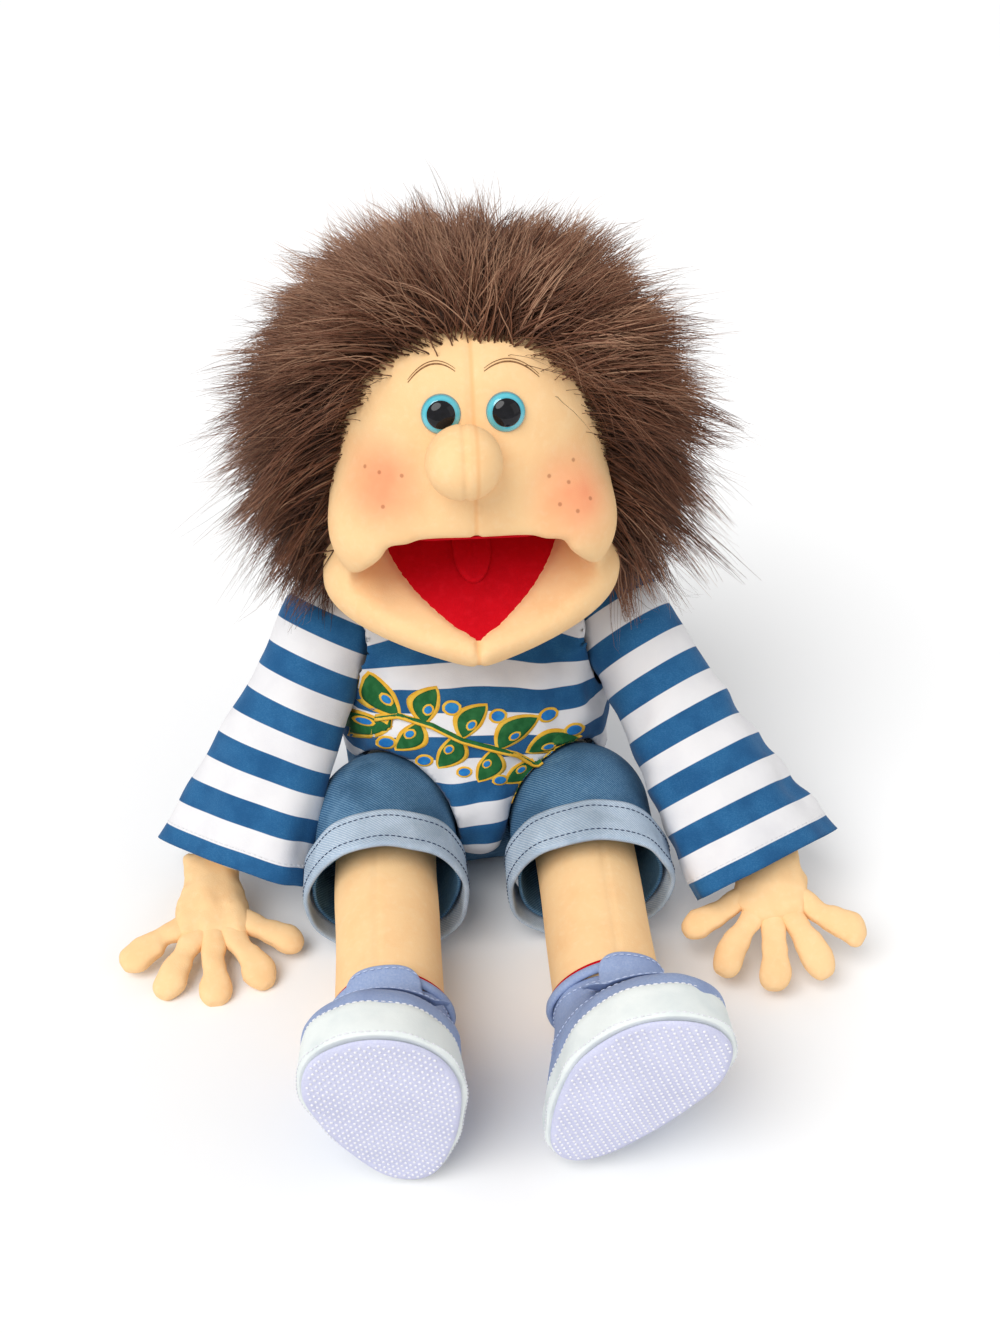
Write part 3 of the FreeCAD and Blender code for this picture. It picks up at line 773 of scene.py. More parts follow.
def grow_hair(roots, length, width, tones, seed, clumped=18, lean=0.55, toward=None, sides=3, steps=7):
    """Closed tapering strands, drawn together towards their tips in clumps, as one mesh."""
    draw = np.random.default_rng(seed)
    normals = scalp_normal(roots)
    flow = flow_over(roots, normals)
    down = to_local(np.array([[0, 0, -1.0]]), HEAD_TURN, np.zeros(3))[0]
    top = ramp(normals @ -down, 0.2, 0.9)[:, None]
    start = unit(normals * 0.72 + flow * lean + draw.normal(size=roots.shape) * 0.17)
    pull = flow * 0.42 + down * (0.26 + 0.05 * top) + draw.normal(size=roots.shape) * 0.20
    if toward is not None:
        start = unit(normals * 0.5 + toward + draw.normal(size=roots.shape) * 0.2)
        pull = down * 0.9 + toward * 0.4 + draw.normal(size=roots.shape) * 0.2
    reach = length * draw.uniform(0.72, 1.12, len(roots))[:, None]
    reach *= 1 - 0.20 * ramp(normals @ -down, 0.1, 0.9)[:, None] - 0.12 * ramp(-roots[:, :1], 20, 75)
    guides = len(roots)
    count = guides * clumped
    owner = np.repeat(np.arange(guides), clumped)
    spread = draw.normal(size=(count, 3))
    spread -= (spread * normals[owner]).sum(1, keepdims=True) * normals[owner]
    own_length = draw.uniform(0.80, 1.12, (count, 1))
    s = np.linspace(0, 1, steps)[None, :, None]
    reach_own = (reach[owner] * own_length)[:, None]
    path = (roots[owner][:, None] + spread[:, None] * (5.0 * (1 - s) + 2.3)
            + start[owner][:, None] * s * reach_own + pull[owner][:, None] * s ** 2 * reach_own * 0.62)
    frizz = draw.normal(size=(count, 1, 3)) * 2.2
    waves = s * draw.uniform(3, 7, (count, 1, 1)) + draw.uniform(0, 6, (count, 1, 1))
    path = path + frizz * np.sin(waves) * s
    short = np.maximum(hairline(path[:, :1, 2]) + 3 - path[:, :1, 1], 0)
    path[..., 1] += short * (1 - s[..., 0]) ** 2
    clear = egg(path)
    normal_here = scalp_normal(path.reshape(-1, 3)).reshape(path.shape)
    path = path + normal_here * np.maximum(0, 2.0 - clear)[..., None] * (s > 0.05)
    path = to_world(path, HEAD_TURN, HINGE)
    path[..., 2] = np.maximum(path[..., 2], HAIR_BOTTOM)
    path[..., 1] -= 0.66 * np.maximum(path[..., 1] - HAIR_BACK, 0)
    path[..., 2] -= 0.60 * np.maximum(path[..., 2] - HAIR_TOP, 0)
    along = unit(np.gradient(path, axis=1))
    side = unit(np.cross(along, np.array([0.2, 0.9, 0.35])))
    over = np.cross(side, along)
    angle = np.arange(sides) * 2 * math.pi / sides
    thick = width * draw.uniform(0.7, 1.25, (count, 1, 1, 1)) * (1 - 0.88 * s[..., None] ** 1.4)
    angle = angle[None, None, :, None]
    ring = np.cos(angle) * side[:, :, None] + np.sin(angle) * over[:, :, None]
    points = (path[:, :, None] + ring * thick).reshape(-1, 3)
    # Besides each clump's own tone, the tone is painted: darker towards the roots as painted shade down in the
    # fur, and lighter high on the head as painted light from above.
    tone = np.repeat(np.clip(np.repeat(tones[owner] + draw.normal(size=count) * 0.16, steps)
                             + np.tile(np.linspace(-0.20, 0.16, steps), count)
                             + 0.24 * ramp(path[..., 2].ravel(), 290, 375), 0, 1), sides)
    i, j = np.meshgrid(np.arange(steps - 1), np.arange(sides), indexing="ij")
    here = i * sides + j
    there = i * sides + (j + 1) % sides
    quads = np.stack([here, there, there + sides, here + sides], -1).reshape(-1, 4)
    quads = (np.arange(count)[:, None, None] * steps * sides + quads[None]).reshape(-1, 4)
    base = np.arange(count)[:, None] * steps * sides
    caps = np.concatenate([base + np.arange(sides)[::-1], base + (steps - 1) * sides + np.arange(sides)])
    return points, (quads, caps), tone


def random_roots(count, seed):
    draw = np.random.default_rng(seed)
    ways = unit(draw.normal(size=(count * 5, 3)))
    points = scalp_point(ways, 1.5)
    edge = hairline(points[:, 2])
    good = (points[:, 1] > edge + 4) & (points[:, 2] > -14 + 10 * (points[:, 1] > 20))
    nape = (np.hypot(points[:, 0], points[:, 2] - NAPE_HEIGHT) < 43) & (points[:, 1] > 40)
    good &= ~nape
    points = points[good][:count]
    tones = 0.42 + 0.22 * wobble(points, 45, seed + 1)
    return points, tones


def hair_look():
    look = Look("faux_fur", (0.045, 0.015, 0.006), roughness=0.5, sheen=0.1, specular=0.3,
                sheen_tint=(0.6, 0.35, 0.22))
    # The tone attribute carries each strand's own tone together with painted shade and painted light.
    tone = look.number("tone")
    look.mottle((0.185, 0.070, 0.035), tone, 0.20, 0.58)
    look.mottle((0.48, 0.27, 0.165), tone, 0.60, 1.0)
    return look.done()


def build_hair():
    material = hair_look()

    def shell(p):
        bare = egg(p)
        behind = p[..., 1] - hairline(p[..., 2])
        thick = (13 + 5 * wobble(p, 26, 12)) * (0.25 + 0.75 * ramp(behind, 0, 30))
        shape = np.maximum(bare - thick, 1.2 - bare)
        shape = np.maximum(shape, hairline(p[..., 2]) + 2 + 0.5 * np.clip(bare, 0, 30) - p[..., 1])
        shape = np.maximum(shape, -16 + 14 * (p[..., 1] > 15) - p[..., 2])
        nape = np.maximum(np.hypot(p[..., 0], p[..., 2] - NAPE_HEIGHT) - 39, 30 - p[..., 1])
        return np.maximum(shape, -nape)

    low, high, step = (-105, -75, -25), (105, 118, 150), 3.4
    points, quads = surface_net(shell(grid_points(low, high, step)), low, step)
    points = relax(points, quads, 2)
    # Painted shade: the wig base's tone is kept low, so it shows dark brown in the gaps between the strands.
    tone = np.clip(0.25 + 0.25 * wobble(points, 14, 5), 0, 1)
    base = make_piece("wig_base", to_world(points, HEAD_TURN, HINGE), quads, material, {"tone": tone})
    dress(base, "head", "faux_fur", "wig", fill=0.5)
    batches = (("hair_under", 3, 226, 40, 0.62, 22, 21), ("hair_mid", 3, 226, 51, 0.52, 22, 22),
               ("hair_outer", 3, 252, 60, 0.42, 20, 23), ("hair_wisps", 2, 750, 68, 0.24, 6, 24))
    for name, parts, guides, length, width, clumped, seed in batches:
        for part in range(parts):
            roots, tones = random_roots(guides, seed + 10 * part)
            points, faces, tone = grow_hair(roots, length, width, tones, seed + 50 + 10 * part, clumped)
            piece = make_piece(f"{name}_{part + 1}", points, faces, material, {"tone": tone})
            dress(piece, "head", "faux_fur")
    # Thin strands that fall over the edge of the forehead.
    draw = np.random.default_rng(29)
    across = np.concatenate([draw.uniform(26, 64, 26), draw.uniform(-54, -34, 8)])
    height = 100 - 0.011 * across ** 2 + draw.uniform(-3, 6, len(across))
    ways = np.stack([across, hairline(height) - EGG_CENTRE[1] + 4, height - EGG_CENTRE[2]], 1)
    roots = scalp_point(ways, 2)
    toward = np.stack([np.sign(across) * 0.55, np.full(len(across), -0.6), np.full(len(across), 0.15)], 1)
    points, faces, tone = grow_hair(roots, 44, 0.19, np.full(len(roots), 0.45), 77, 5, toward=toward)
    fringe = make_piece("hair_fringe", points, faces, material, {"tone": tone})
    dress(fringe, "head", "faux_fur")


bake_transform(face)
build_nose()
build_brows()
build_eyes()
build_mouth()
build_hair()


# ---- cloth helpers ---------------------------------------------------------------------------------------
def limb_axes(direction):
    """Axes of a limb's frame: Z along it and X level across it."""
    along = unit(np.asarray(direction, float))
    across = unit(np.cross([0, 0, 1.0], along))
    return np.stack([across, np.cross(along, across), along], 1)


def spot_of(joint):
    return np.array(joints[joint]["pos_m"]) / MM


SHOULDER = {side: spot_of(f"shoulder_raise_{side}") for side, _ in SIDES}
WRIST = {side: spot_of(f"wrist_{side}") for side, _ in SIDES}
ARM_AXES = {side: limb_axes(WRIST[side] - SHOULDER[side]) for side, _ in SIDES}
HAND_AXES = {side: limb_axes(spot_of(f"middle_curl_{side}") - WRIST[side]) for side, _ in SIDES}
LEG_RADIUS = 29
HIP_RADIUS = 42
HIP = {side: spot_of(f"hip_{side}") for side, _ in SIDES}
LEG_TURN = turn_x(95.5)
TOE_TURN = {"left": 21, "right": 5}
SHOE_TURN = {side: LEG_TURN @ turn_z(-sign * TOE_TURN[side]) for side, sign in SIDES}


def rim_edges(faces, count):
    """Edges with a face on one side only, each in the direction its face runs."""
    faces = np.asarray(faces)
    edges = np.concatenate([faces[:, [k, (k + 1) % 4]] for k in range(4)])
    edges = edges[edges[:, 0] != edges[:, 1]]
    key = edges.min(1) * count + edges.max(1)
    _, first, hits = np.unique(key, return_index=True, return_counts=True)
    return edges[first[hits == 1]]


def smooth_rim(points, faces, rounds=10):
    """Evens out the open edges of a sheet along themselves."""
    rim = rim_edges(faces, len(points))
    both = np.concatenate([rim, rim[:, ::-1]])
    hits = np.bincount(both[:, 0], minlength=len(points))
    on_rim = hits == 2
    for _ in range(rounds):
        mean = np.stack([np.bincount(both[:, 0], weights=points[both[:, 1], k], minlength=len(points))
                         for k in range(3)], 1) / np.maximum(hits, 1)[:, None]
        points = np.where(on_rim[:, None], points * 0.4 + mean * 0.6, points)
    return points


def drop_loose(points, faces):
    used = np.unique(faces)
    index = np.full(len(points), -1)
    index[used] = np.arange(len(used))
    return points[used], index[faces]


def cloth(name, points, faces, thick, material, attributes=None):
    """A closed cloth piece from its outer face: the inner face lies thick further in."""
    faces = np.asarray(faces)
    count = len(points)
    inner = points - normals_of(points, faces) * thick
    rim = rim_edges(faces, count)
    sides = np.stack([rim[:, 1], rim[:, 0], rim[:, 0] + count, rim[:, 1] + count], 1)
    every = np.concatenate([faces, faces[:, ::-1] + count, sides])
    doubled = {key: np.concatenate([values, values]) for key, values in (attributes or {}).items()}
    triangles = every[:, 0] == every[:, 1]
    polygons = every.tolist()
    if triangles.any():
        polygons = [list(dict.fromkeys(face)) for face in polygons]
    return make_piece(name, np.concatenate([points, inner]), polygons, material, attributes=doubled)


def polar(out, turn, along):
    """Places at a distance out from the Z axis."""
    return np.stack([out * np.cos(turn), out * np.sin(turn), along], -1)


def tube_sheet(rows, columns, point, *more):
    """A sheet wrapped into a tube: point gives places from row and turn arrays, and more if it needs it."""
    turn = np.linspace(0, 2 * math.pi, columns, endpoint=False)
    grid_row, grid_turn = np.meshgrid(rows, turn, indexing="ij")
    points = point(grid_row, grid_turn, *more).reshape(-1, 3)
    i, j = np.meshgrid(np.arange(len(rows) - 1), np.arange(columns), indexing="ij")
    a = i * columns + j
    b = i * columns + (j + 1) % columns
    faces = np.stack([a, b, b + columns, a + columns], -1).reshape(-1, 4)
    return points, faces, grid_row.ravel(), grid_turn.ravel()


def closed_tube(rows, columns, point, *more):
    """A tube sheet with a flat cap at each end; the caps are its last two faces."""
    points, quads, _, _ = tube_sheet(rows, columns, point, *more)
    count = len(points)
    caps = [list(range(columns - 1, -1, -1)), list(range(count - columns, count))]
    return points, quads.tolist() + caps


def fanned_tube(rows, columns, point, pole):
    """A tube sheet drawn together before its first row to a pole on the Z axis, with each row and turn."""
    points, quads, rows, turns = tube_sheet(rows, columns, point)
    hub = np.full(columns, len(points))
    first = np.arange(columns)
    fan = np.stack([hub, hub, np.roll(first, -1), first], 1)
    return (np.concatenate([points, [[0, 0, pole]]]), np.concatenate([quads, fan]),
            np.append(rows, 0), np.append(turns, 0))


def trim_sheet(points, faces, kept, rounds):
    """The faces between kept points, evened out inside their rim, and which points are on the rim."""
    points, faces = drop_loose(points, faces[kept[faces].all(1)])
    points = smooth_rim(points, faces)
    rim = np.zeros(len(points), bool)
    rim[np.unique(rim_edges(faces, len(points)))] = True
    return np.where(rim[:, None], points, relax(points, faces, rounds)), faces, rim


def outward(line, by, middle=0):
    """A line moved level away from a middle."""
    return line + unit((line - middle) * [1, 1, 0]) * by


def stitches(path, long, gap, radius):
    """Separate thread stitches along a path."""
    path = np.asarray(path, float)
    run = np.concatenate([[0], np.cumsum(np.linalg.norm(np.diff(path, axis=0), axis=1))])
    parts = []
    for start in np.arange(0.5, run[-1] - long, long + gap):
        where = np.linspace(start, start + long, 5)
        line = np.stack([np.interp(where, run, path[:, k]) for k in range(3)], 1)
        size = radius * np.array([0.5, 0.95, 1, 0.95, 0.5])
        parts.append(tube(line, size, 6, up=(0.31, 0.52, 0.79)))
    return join(parts)


def thread_look(name, colour):
    look = Look(name, colour, roughness=0.7, specular=0.2)
    look.mottle(tuple(c * 0.8 for c in colour), look.noise(2400, 2), 0.4, 0.6)
    return look.done()


# ---- striped shirt ---------------------------------------------------------------------------------------
STRIPE = 30.0


def jersey():
    """Knitted cotton in two colours; the attribute stripe runs across the stripes in millimetres."""
    look = Look("striped_jersey", (0.80, 0.79, 0.80), roughness=0.9, sheen=0.12, specular=0.12)
    look.mottle((0.66, 0.65, 0.69), look.noise(45, 3), 0.45, 0.7, 0.35)
    part = look.maths("FRACT", look.maths("DIVIDE", look.number("stripe"), STRIPE))
    band = look.maths("SUBTRACT", look.scaled(part, 0.0, 0.012), look.scaled(part, 0.5, 0.512))
    look.paint((0.020, 0.115, 0.270), band)
    flecks = look.maths("MULTIPLY", band, look.scaled(look.noise(900, 3, 0.7, stretch=(1, 1, 4)), 0.45, 0.7))
    look.paint((0.055, 0.19, 0.38), look.maths("MULTIPLY", flecks, 0.75))
    shade = look.maths("MULTIPLY", band, look.scaled(look.noise(60, 3), 0.4, 0.65))
    look.paint((0.012, 0.075, 0.20), look.maths("MULTIPLY", shade, 0.6))
    look.raise_by(look.noise(1700, 2, 0.6), 0.30, 0.0004)
    look.raise_by(look.noise(70, 3, 0.5), 0.25, 0.002)
    return look.done()


JERSEY = jersey()
JERSEY_THICK = 1.5
WHITE_THREAD = thread_look("white_thread", (0.82, 0.82, 0.84))

BODY_HEIGHT = 163
BODY_SHARES = np.array([0.02, 0.16, 0.28, 0.42, 0.66, 0.84, 0.95, 1.0])
BODY_WIDE = np.array([0.80, 0.97, 0.99, 1.0, 0.97, 0.86, 0.62, 0.44]) * 76
BODY_DEEP = np.array([0.86, 0.98, 0.99, 1.0, 0.94, 0.78, 0.58, 0.44]) * 62
BODY_BACK = np.array([4, 0, 0, 0, 1, 5, 9, 10]) + 6.0


def body_oval(p, grow):
    """About the distance to the body's outline let out by grow."""
    share = p[..., 2] / BODY_HEIGHT
    wide = np.interp(share, BODY_SHARES, BODY_WIDE) + grow
    deep = np.interp(share, BODY_SHARES, BODY_DEEP) + grow
    back = np.interp(share, BODY_SHARES, BODY_BACK)
    return (np.sqrt((p[..., 0] / wide) ** 2 + ((p[..., 1] - back) / deep) ** 2) - 1) * deep * 0.9


def thighs(p, radius):
    gap = None
    for side, _ in SIDES:
        far = HIP[side] + LEG_TURN @ np.array([0, 0, 60.0])
        here = capsule(p, HIP[side], far, radius, radius)
        gap = here if gap is None else np.minimum(gap, here)
    return gap


ARMHOLE = 31.2


def armholes(p):
    """Room for both arms to swing and to rise."""
    gap = None
    for side, sign in SIDES:
        ways = [ARM_AXES[side][:, 2], np.array([sign * 0.45, -0.86, -0.1]), np.array([sign * 0.9, -0.2, 0.1]),
                np.array([sign * 0.9, -0.1, -0.4])]
        for way in ways:
            here = capsule(p, SHOULDER[side], SHOULDER[side] + unit(way) * 60, ARMHOLE, ARMHOLE)
            gap = here if gap is None else np.minimum(gap, here)
    return gap


def shirt_field(p):
    torso = body_oval(p, 8.5)
    cap = p[..., 2] - 158
    torso = soft_max(torso, cap, 14)
    for _, sign in SIDES:
        slope = capsule(p, (sign * 26, 14, 142), (sign * 80, 6, 144), 22, 33)
        torso = soft_min(torso, slope, 12)
    belly = capsule(p, (-4, -30, 88), (-6, -58, 60), 40, 22)
    torso = soft_min(torso, belly, 22)
    tongue = capsule(p * np.array([1.25, 1, 1]), (-4, -50, 72), (-5, -66, 44), 22, 11)
    return soft_min(torso, tongue, 14)


def shirt_hem(p):
    """Below zero where the shirt goes on; the front falls into the lap."""
    front = ramp(-p[..., 1], 8, 50)
    middle = np.exp(-((p[..., 0] + 5) / 24) ** 2)
    hem = 66 + 4 * np.sin(p[..., 0] / 17) + front * (10 - 46 * middle)
    return hem - p[..., 2]


def build_shirt():
    low, high, step = np.array([-118.0, -100.0, 24.0]), np.array([118.0, 92.0, 182.0]), 2.6

    def carve(p):
        neck = np.maximum(np.hypot(p[..., 0] + 2, p[..., 1] - 20) - 33, 120 - p[..., 2])
        cuts = np.minimum(np.minimum(armholes(p), neck), thighs(p, 44))
        return np.maximum(-cuts, shirt_hem(p))

    def whole(p):
        return np.maximum(shirt_field(p), carve(p))

    points, faces = surface_net(whole(grid_points(low, high, step)), low, step)
    kept = (carve(points) < 0.7) | (np.abs(shirt_field(points)) < 0.5)
    kept &= shirt_field(points) > -1.4
    points, faces, rim = trim_sheet(points, faces, kept, 5)
    normals = normals_of(points, faces)
    fold = wobble(points * np.array([1.0, 0.8, 0.45]), 30, 31) * 1.5 + wobble(points, 17, 32) * 0.5
    creases = np.sin(points[:, 2] / 4.2 + points[:, 1] / 9 + 1.5 * wobble(points, 60, 33))
    fold = fold + creases * ramp(np.abs(points[:, 0]) / 75, 0.55, 0.95)
    points = points + normals * (fold * np.where(rim, 0.35, 1))[:, None]
    # The stripes follow the cloth: down the front, then forward over the lap.
    ahead = np.clip(-points[:, 1] - 22, 0, 80)
    sag = 4 * np.exp(-(points[:, 0] / 40) ** 2)
    stripe = -points[:, 2] + 0.42 * ahead + sag + 2.0 * wobble(points, 90, 34)
    shirt = cloth("shirt_cloth", points, faces, JERSEY_THICK, JERSEY, {"stripe": stripe + 4})
    dress(shirt, "torso", "striped_jersey", "shirt_body")
    return BVHTree.FromPolygons([Vector(p) for p in points], faces.tolist())


def build_neckband():
    def place(row, turn):
        out = 35.5 + 2.6 * np.sin(row * math.pi) + 0.35 * np.sin(turn * 60)
        rise = 151 + 9 * row + 3.5 * np.cos(turn * 2) * 0.4 - 5 * np.clip(-np.sin(turn), 0, 1)
        return np.stack([-2 + out * np.cos(turn) * 1.02, 20 + out * np.sin(turn), rise], -1)

    points, faces, _, _ = tube_sheet(np.linspace(0, 1, 9), 120, place)
    band = cloth("neckband_cloth", points, faces, 1.6, JERSEY, {"stripe": np.full(len(points), 4.0)})
    dress(band, "torso", "striped_jersey", "shirt_neckband")


SLEEVE_CAP = 29
SLEEVE_STRIPE = 35
SLEEVE_RADIUS = 29.5
SLEEVE_END = {"left": 172.0, "right": 151.0}
SLEEVE_SLANT = {"left": 5.0, "right": -9.0}
SLEEVE_DRIFT = {"left": -5.0, "right": 5.0}


def build_sleeves():
    for side, sign in SIDES:
        end = SLEEVE_END[side]
        seed = 40 if sign > 0 else 44

        def place(row, turn):
            along = -SLEEVE_CAP + (end + SLEEVE_CAP) * row
            share = np.clip(along / end, 0, 1)
            inside = SLEEVE_RADIUS ** 2 - np.clip(along, -29.4, 0) ** 2
            cap = np.sqrt(np.clip(inside, 0.01, None)) / SLEEVE_RADIUS
            wide = np.interp(share, [0, 0.3, 0.7, 1], [SLEEVE_RADIUS, 32, 43, 53]) * cap
            deep = np.interp(share, [0, 0.3, 0.7, 1], [SLEEVE_RADIUS, 28, 28, 25]) * cap
            fall = ramp(share, 0.25, 1.0)
            around = polar(40, turn, along * 0.8)
            long_folds = np.sin(turn * 3 + sign + 0.8 * share) * 1.5
            long_folds = long_folds + np.sin(turn * 7 - sign * 2 + 2 * share) * 1.2
            crease = wobble(around * np.array([1, 1, 2.2]), 46, seed) * 1.5 * ramp(share, 0.02, 0.2)
            push = fall * long_folds + crease * (1 - 0.5 * ramp(share, 0.8, 1))
            sag = -5 * np.sin(share * math.pi) * 0.6
            x = (wide + push) * np.cos(turn) + SLEEVE_DRIFT[side] * ramp(share, 0.2, 1.1)
            y = (deep + push * 0.8) * np.sin(turn) + sag
            lean = SLEEVE_SLANT[side] * ramp(share, 0.2, 1) * np.cos(turn)
            return np.stack([x, y, along + lean], -1)

        cap_share = SLEEVE_CAP / (end + SLEEVE_CAP)
        rows = np.concatenate([np.linspace(0.0006, cap_share, 12)[:-1], np.linspace(cap_share, 1, 70)])
        points, faces, rows, _ = fanned_tube(rows, 96, place, -SLEEVE_RADIUS)
        stripe = (1 - rows) * (end + SLEEVE_CAP) + SLEEVE_STRIPE
        world = to_world(points, ARM_AXES[side], SHOULDER[side])
        sleeve = cloth(f"sleeve_cloth_{side}", world, faces, JERSEY_THICK, JERSEY, {"stripe": stripe})
        dress(sleeve, f"arm_{side}", "striped_jersey", f"sleeve_{side}")
        line = place(np.full(160, 1 - 11.5 / (end + SLEEVE_CAP)), np.linspace(0, 2 * math.pi, 160))
        path = to_world(outward(line, 0.15), ARM_AXES[side], SHOULDER[side])
        seam = make_piece(f"sleeve_stitches_{side}", *stitches(path, 2.6, 1.2, 0.3), WHITE_THREAD)
        dress(seam, f"arm_{side}", "striped_jersey")


# ---- printed sprig ---------------------------------------------------------------------------------------
def build_print(shirt_tree):
    """A made-up leafy sprig with berries, printed on the chest."""
    look_from = np.array([-6.0, -260.0, 250.0])

    def on_shirt(a, b, lift):
        """a runs across the chest and b up it, in millimetres, from the middle of the print."""
        target = np.array([-2.0 + 1.12 * a, -58.0 - 0.3 * b, 100.0 + 1.25 * b])
        way = unit(target - look_from)
        spot, normal, _, _ = shirt_tree.ray_cast(Vector(look_from), Vector(way))
        if spot is None:
            spot, normal, _, _ = shirt_tree.find_nearest(Vector(target))
        normal = np.array(normal)
        if normal @ way > 0:
            normal = -normal
        return np.array(spot) + normal * lift

    def patch(centre, heading, long, wide, lift, pointed=True, rows=9, columns=13):
        """A thin filled leaf or disc lying on the shirt."""
        top = []
        for u in np.linspace(-1, 1, columns):
            half = (1 - abs(u) ** 1.7) ** (0.8 if pointed else 0.5)
            for v in np.linspace(-1, 1, rows):
                local = (u * long / 2, v * half * wide / 2 + (0.12 * long * (1 - u * u) if pointed else 0))
                a = centre[0] + local[0] * math.cos(heading) - local[1] * math.sin(heading)
                b = centre[1] + local[0] * math.sin(heading) + local[1] * math.cos(heading)
                top.append((a, b))
        upper = [on_shirt(a, b, lift) for a, b in top]
        lower = [on_shirt(a, b, -0.5) for a, b in top]
        return upper + lower, slab_faces(columns, rows, flip=True)

    stem = np.array([(-46, 24), (-36, 26), (-22, 20), (-8, 10),
                     (6, 4), (20, -2), (32, -12), (38, -22)], float)
    share = np.linspace(0, 1, len(stem))
    fine = np.linspace(0, 1, 60)
    stem_line = np.stack([np.interp(fine, share, stem[:, 0]), np.interp(fine, share, stem[:, 1])], 1)
    leaves = [((-52, 22), 2.9, 22, 12), ((-40, 36), 1.9, 22, 11), ((-34, 13), -2.2, 20, 10),
              ((-22, 31), 1.2, 20, 10), ((-16, 2), -2.0, 24, 12), ((-2, 21), 1.0, 22, 11),
              ((4, -10), -1.9, 24, 12), ((20, 12), 0.8, 26, 13), ((22, -16), -2.2, 20, 11),
              ((38, 2), 0.3, 24, 12), ((44, -14), -0.3, 22, 11), ((34, -28), -1.4, 18, 10)]
    berries = [(-44, 9), (-12, 30), (-28, -4), (10, 24), (34, 22), (12, -22), (47, 11), (-8, -14)]
    outline, green, blue = [], [], []
    path = np.array([on_shirt(a, b, 0.3) for a, b in stem_line])
    outline.append(tube(path, 2.7, 8, flat=0.3, up=(0, -0.5, 1)))
    green.append(tube(path + unit(look_from - path) * 0.25, 1.7, 8, flat=0.4, up=(0, -0.5, 1)))
    for centre, heading, long, wide in leaves:
        outline.append(patch(centre, heading, long + 3.4, wide + 4.4, 0.35))
        green.append(patch(centre, heading, long, wide, 0.6))
        mark = (centre[0] - 2 * math.cos(heading), centre[1] - 2 * math.sin(heading))
        outline.append(patch(mark, heading, 7.4, 5.2, 0.75, False, 7, 9))
        blue.append(patch(mark, heading, 5.0, 3.4, 0.95, False, 7, 9))
    for centre in berries:
        outline.append(patch(centre, 0.3, 9.4, 9.0, 0.45, False, 9, 11))
        blue.append(patch(centre, 0.3, 6.6, 6.2, 0.7, False, 9, 11))
    inks = (("print_edge", outline, (0.80, 0.42, 0.03), (0.85, 0.55, 0.08)),
            ("print_green", green, (0.012, 0.11, 0.028), (0.03, 0.17, 0.05)),
            ("print_blue", blue, (0.015, 0.17, 0.50), (0.03, 0.28, 0.62)))
    for name, parts, colour, light in inks:
        look = Look(name, colour, roughness=0.75, specular=0.2)
        look.mottle(light, look.noise(180, 3), 0.4, 0.7, 0.8)
        look.raise_by(look.noise(1700, 2), 0.2, 0.0003)
        vertices, faces = join(parts)
        piece = make_piece(name, vertices, faces, look.done())
        dress(piece, "torso", "striped_jersey")


# ---- denim shorts ----------------------------------------------------------------------------------------
def denim(name, base, light, strength):
    """Twill cloth; the attributes weft and warp run around and along a leg in millimetres."""
    look = Look(name, base, roughness=0.85, sheen=0.1, specular=0.15)
    diagonal = look.maths("ADD", look.number("weft"), look.number("warp"))
    wave = look.maths("SINE", look.maths("MULTIPLY", diagonal, 2 * math.pi / 1.9))
    fuzz = look.noise(700, 3, 0.7)
    mix = look.maths("ADD", look.maths("MULTIPLY", wave, 0.32), fuzz)
    look.mottle(light, mix, 0.35, 0.85, strength)
    look.mottle(tuple(c * 0.55 for c in base), look.noise(38, 3), 0.42, 0.68, 0.55)
    look.mottle(light, look.noise(22, 4, 0.7, stretch=(1, 1, 2)), 0.56, 0.72, 0.35)
    look.raise_by(wave, 0.25, 0.0003)
    look.raise_by(look.noise(90, 3), 0.2, 0.0012)
    return look.done()


DENIM = denim("denim", (0.040, 0.125, 0.245), (0.20, 0.36, 0.52), 0.7)
DENIM_BACK = denim("denim_reverse", (0.36, 0.47, 0.60), (0.62, 0.70, 0.78), 0.9)


DENIM_THICK = 1.7
SHORTS_CAP = 41.9
SHORTS_END = 52


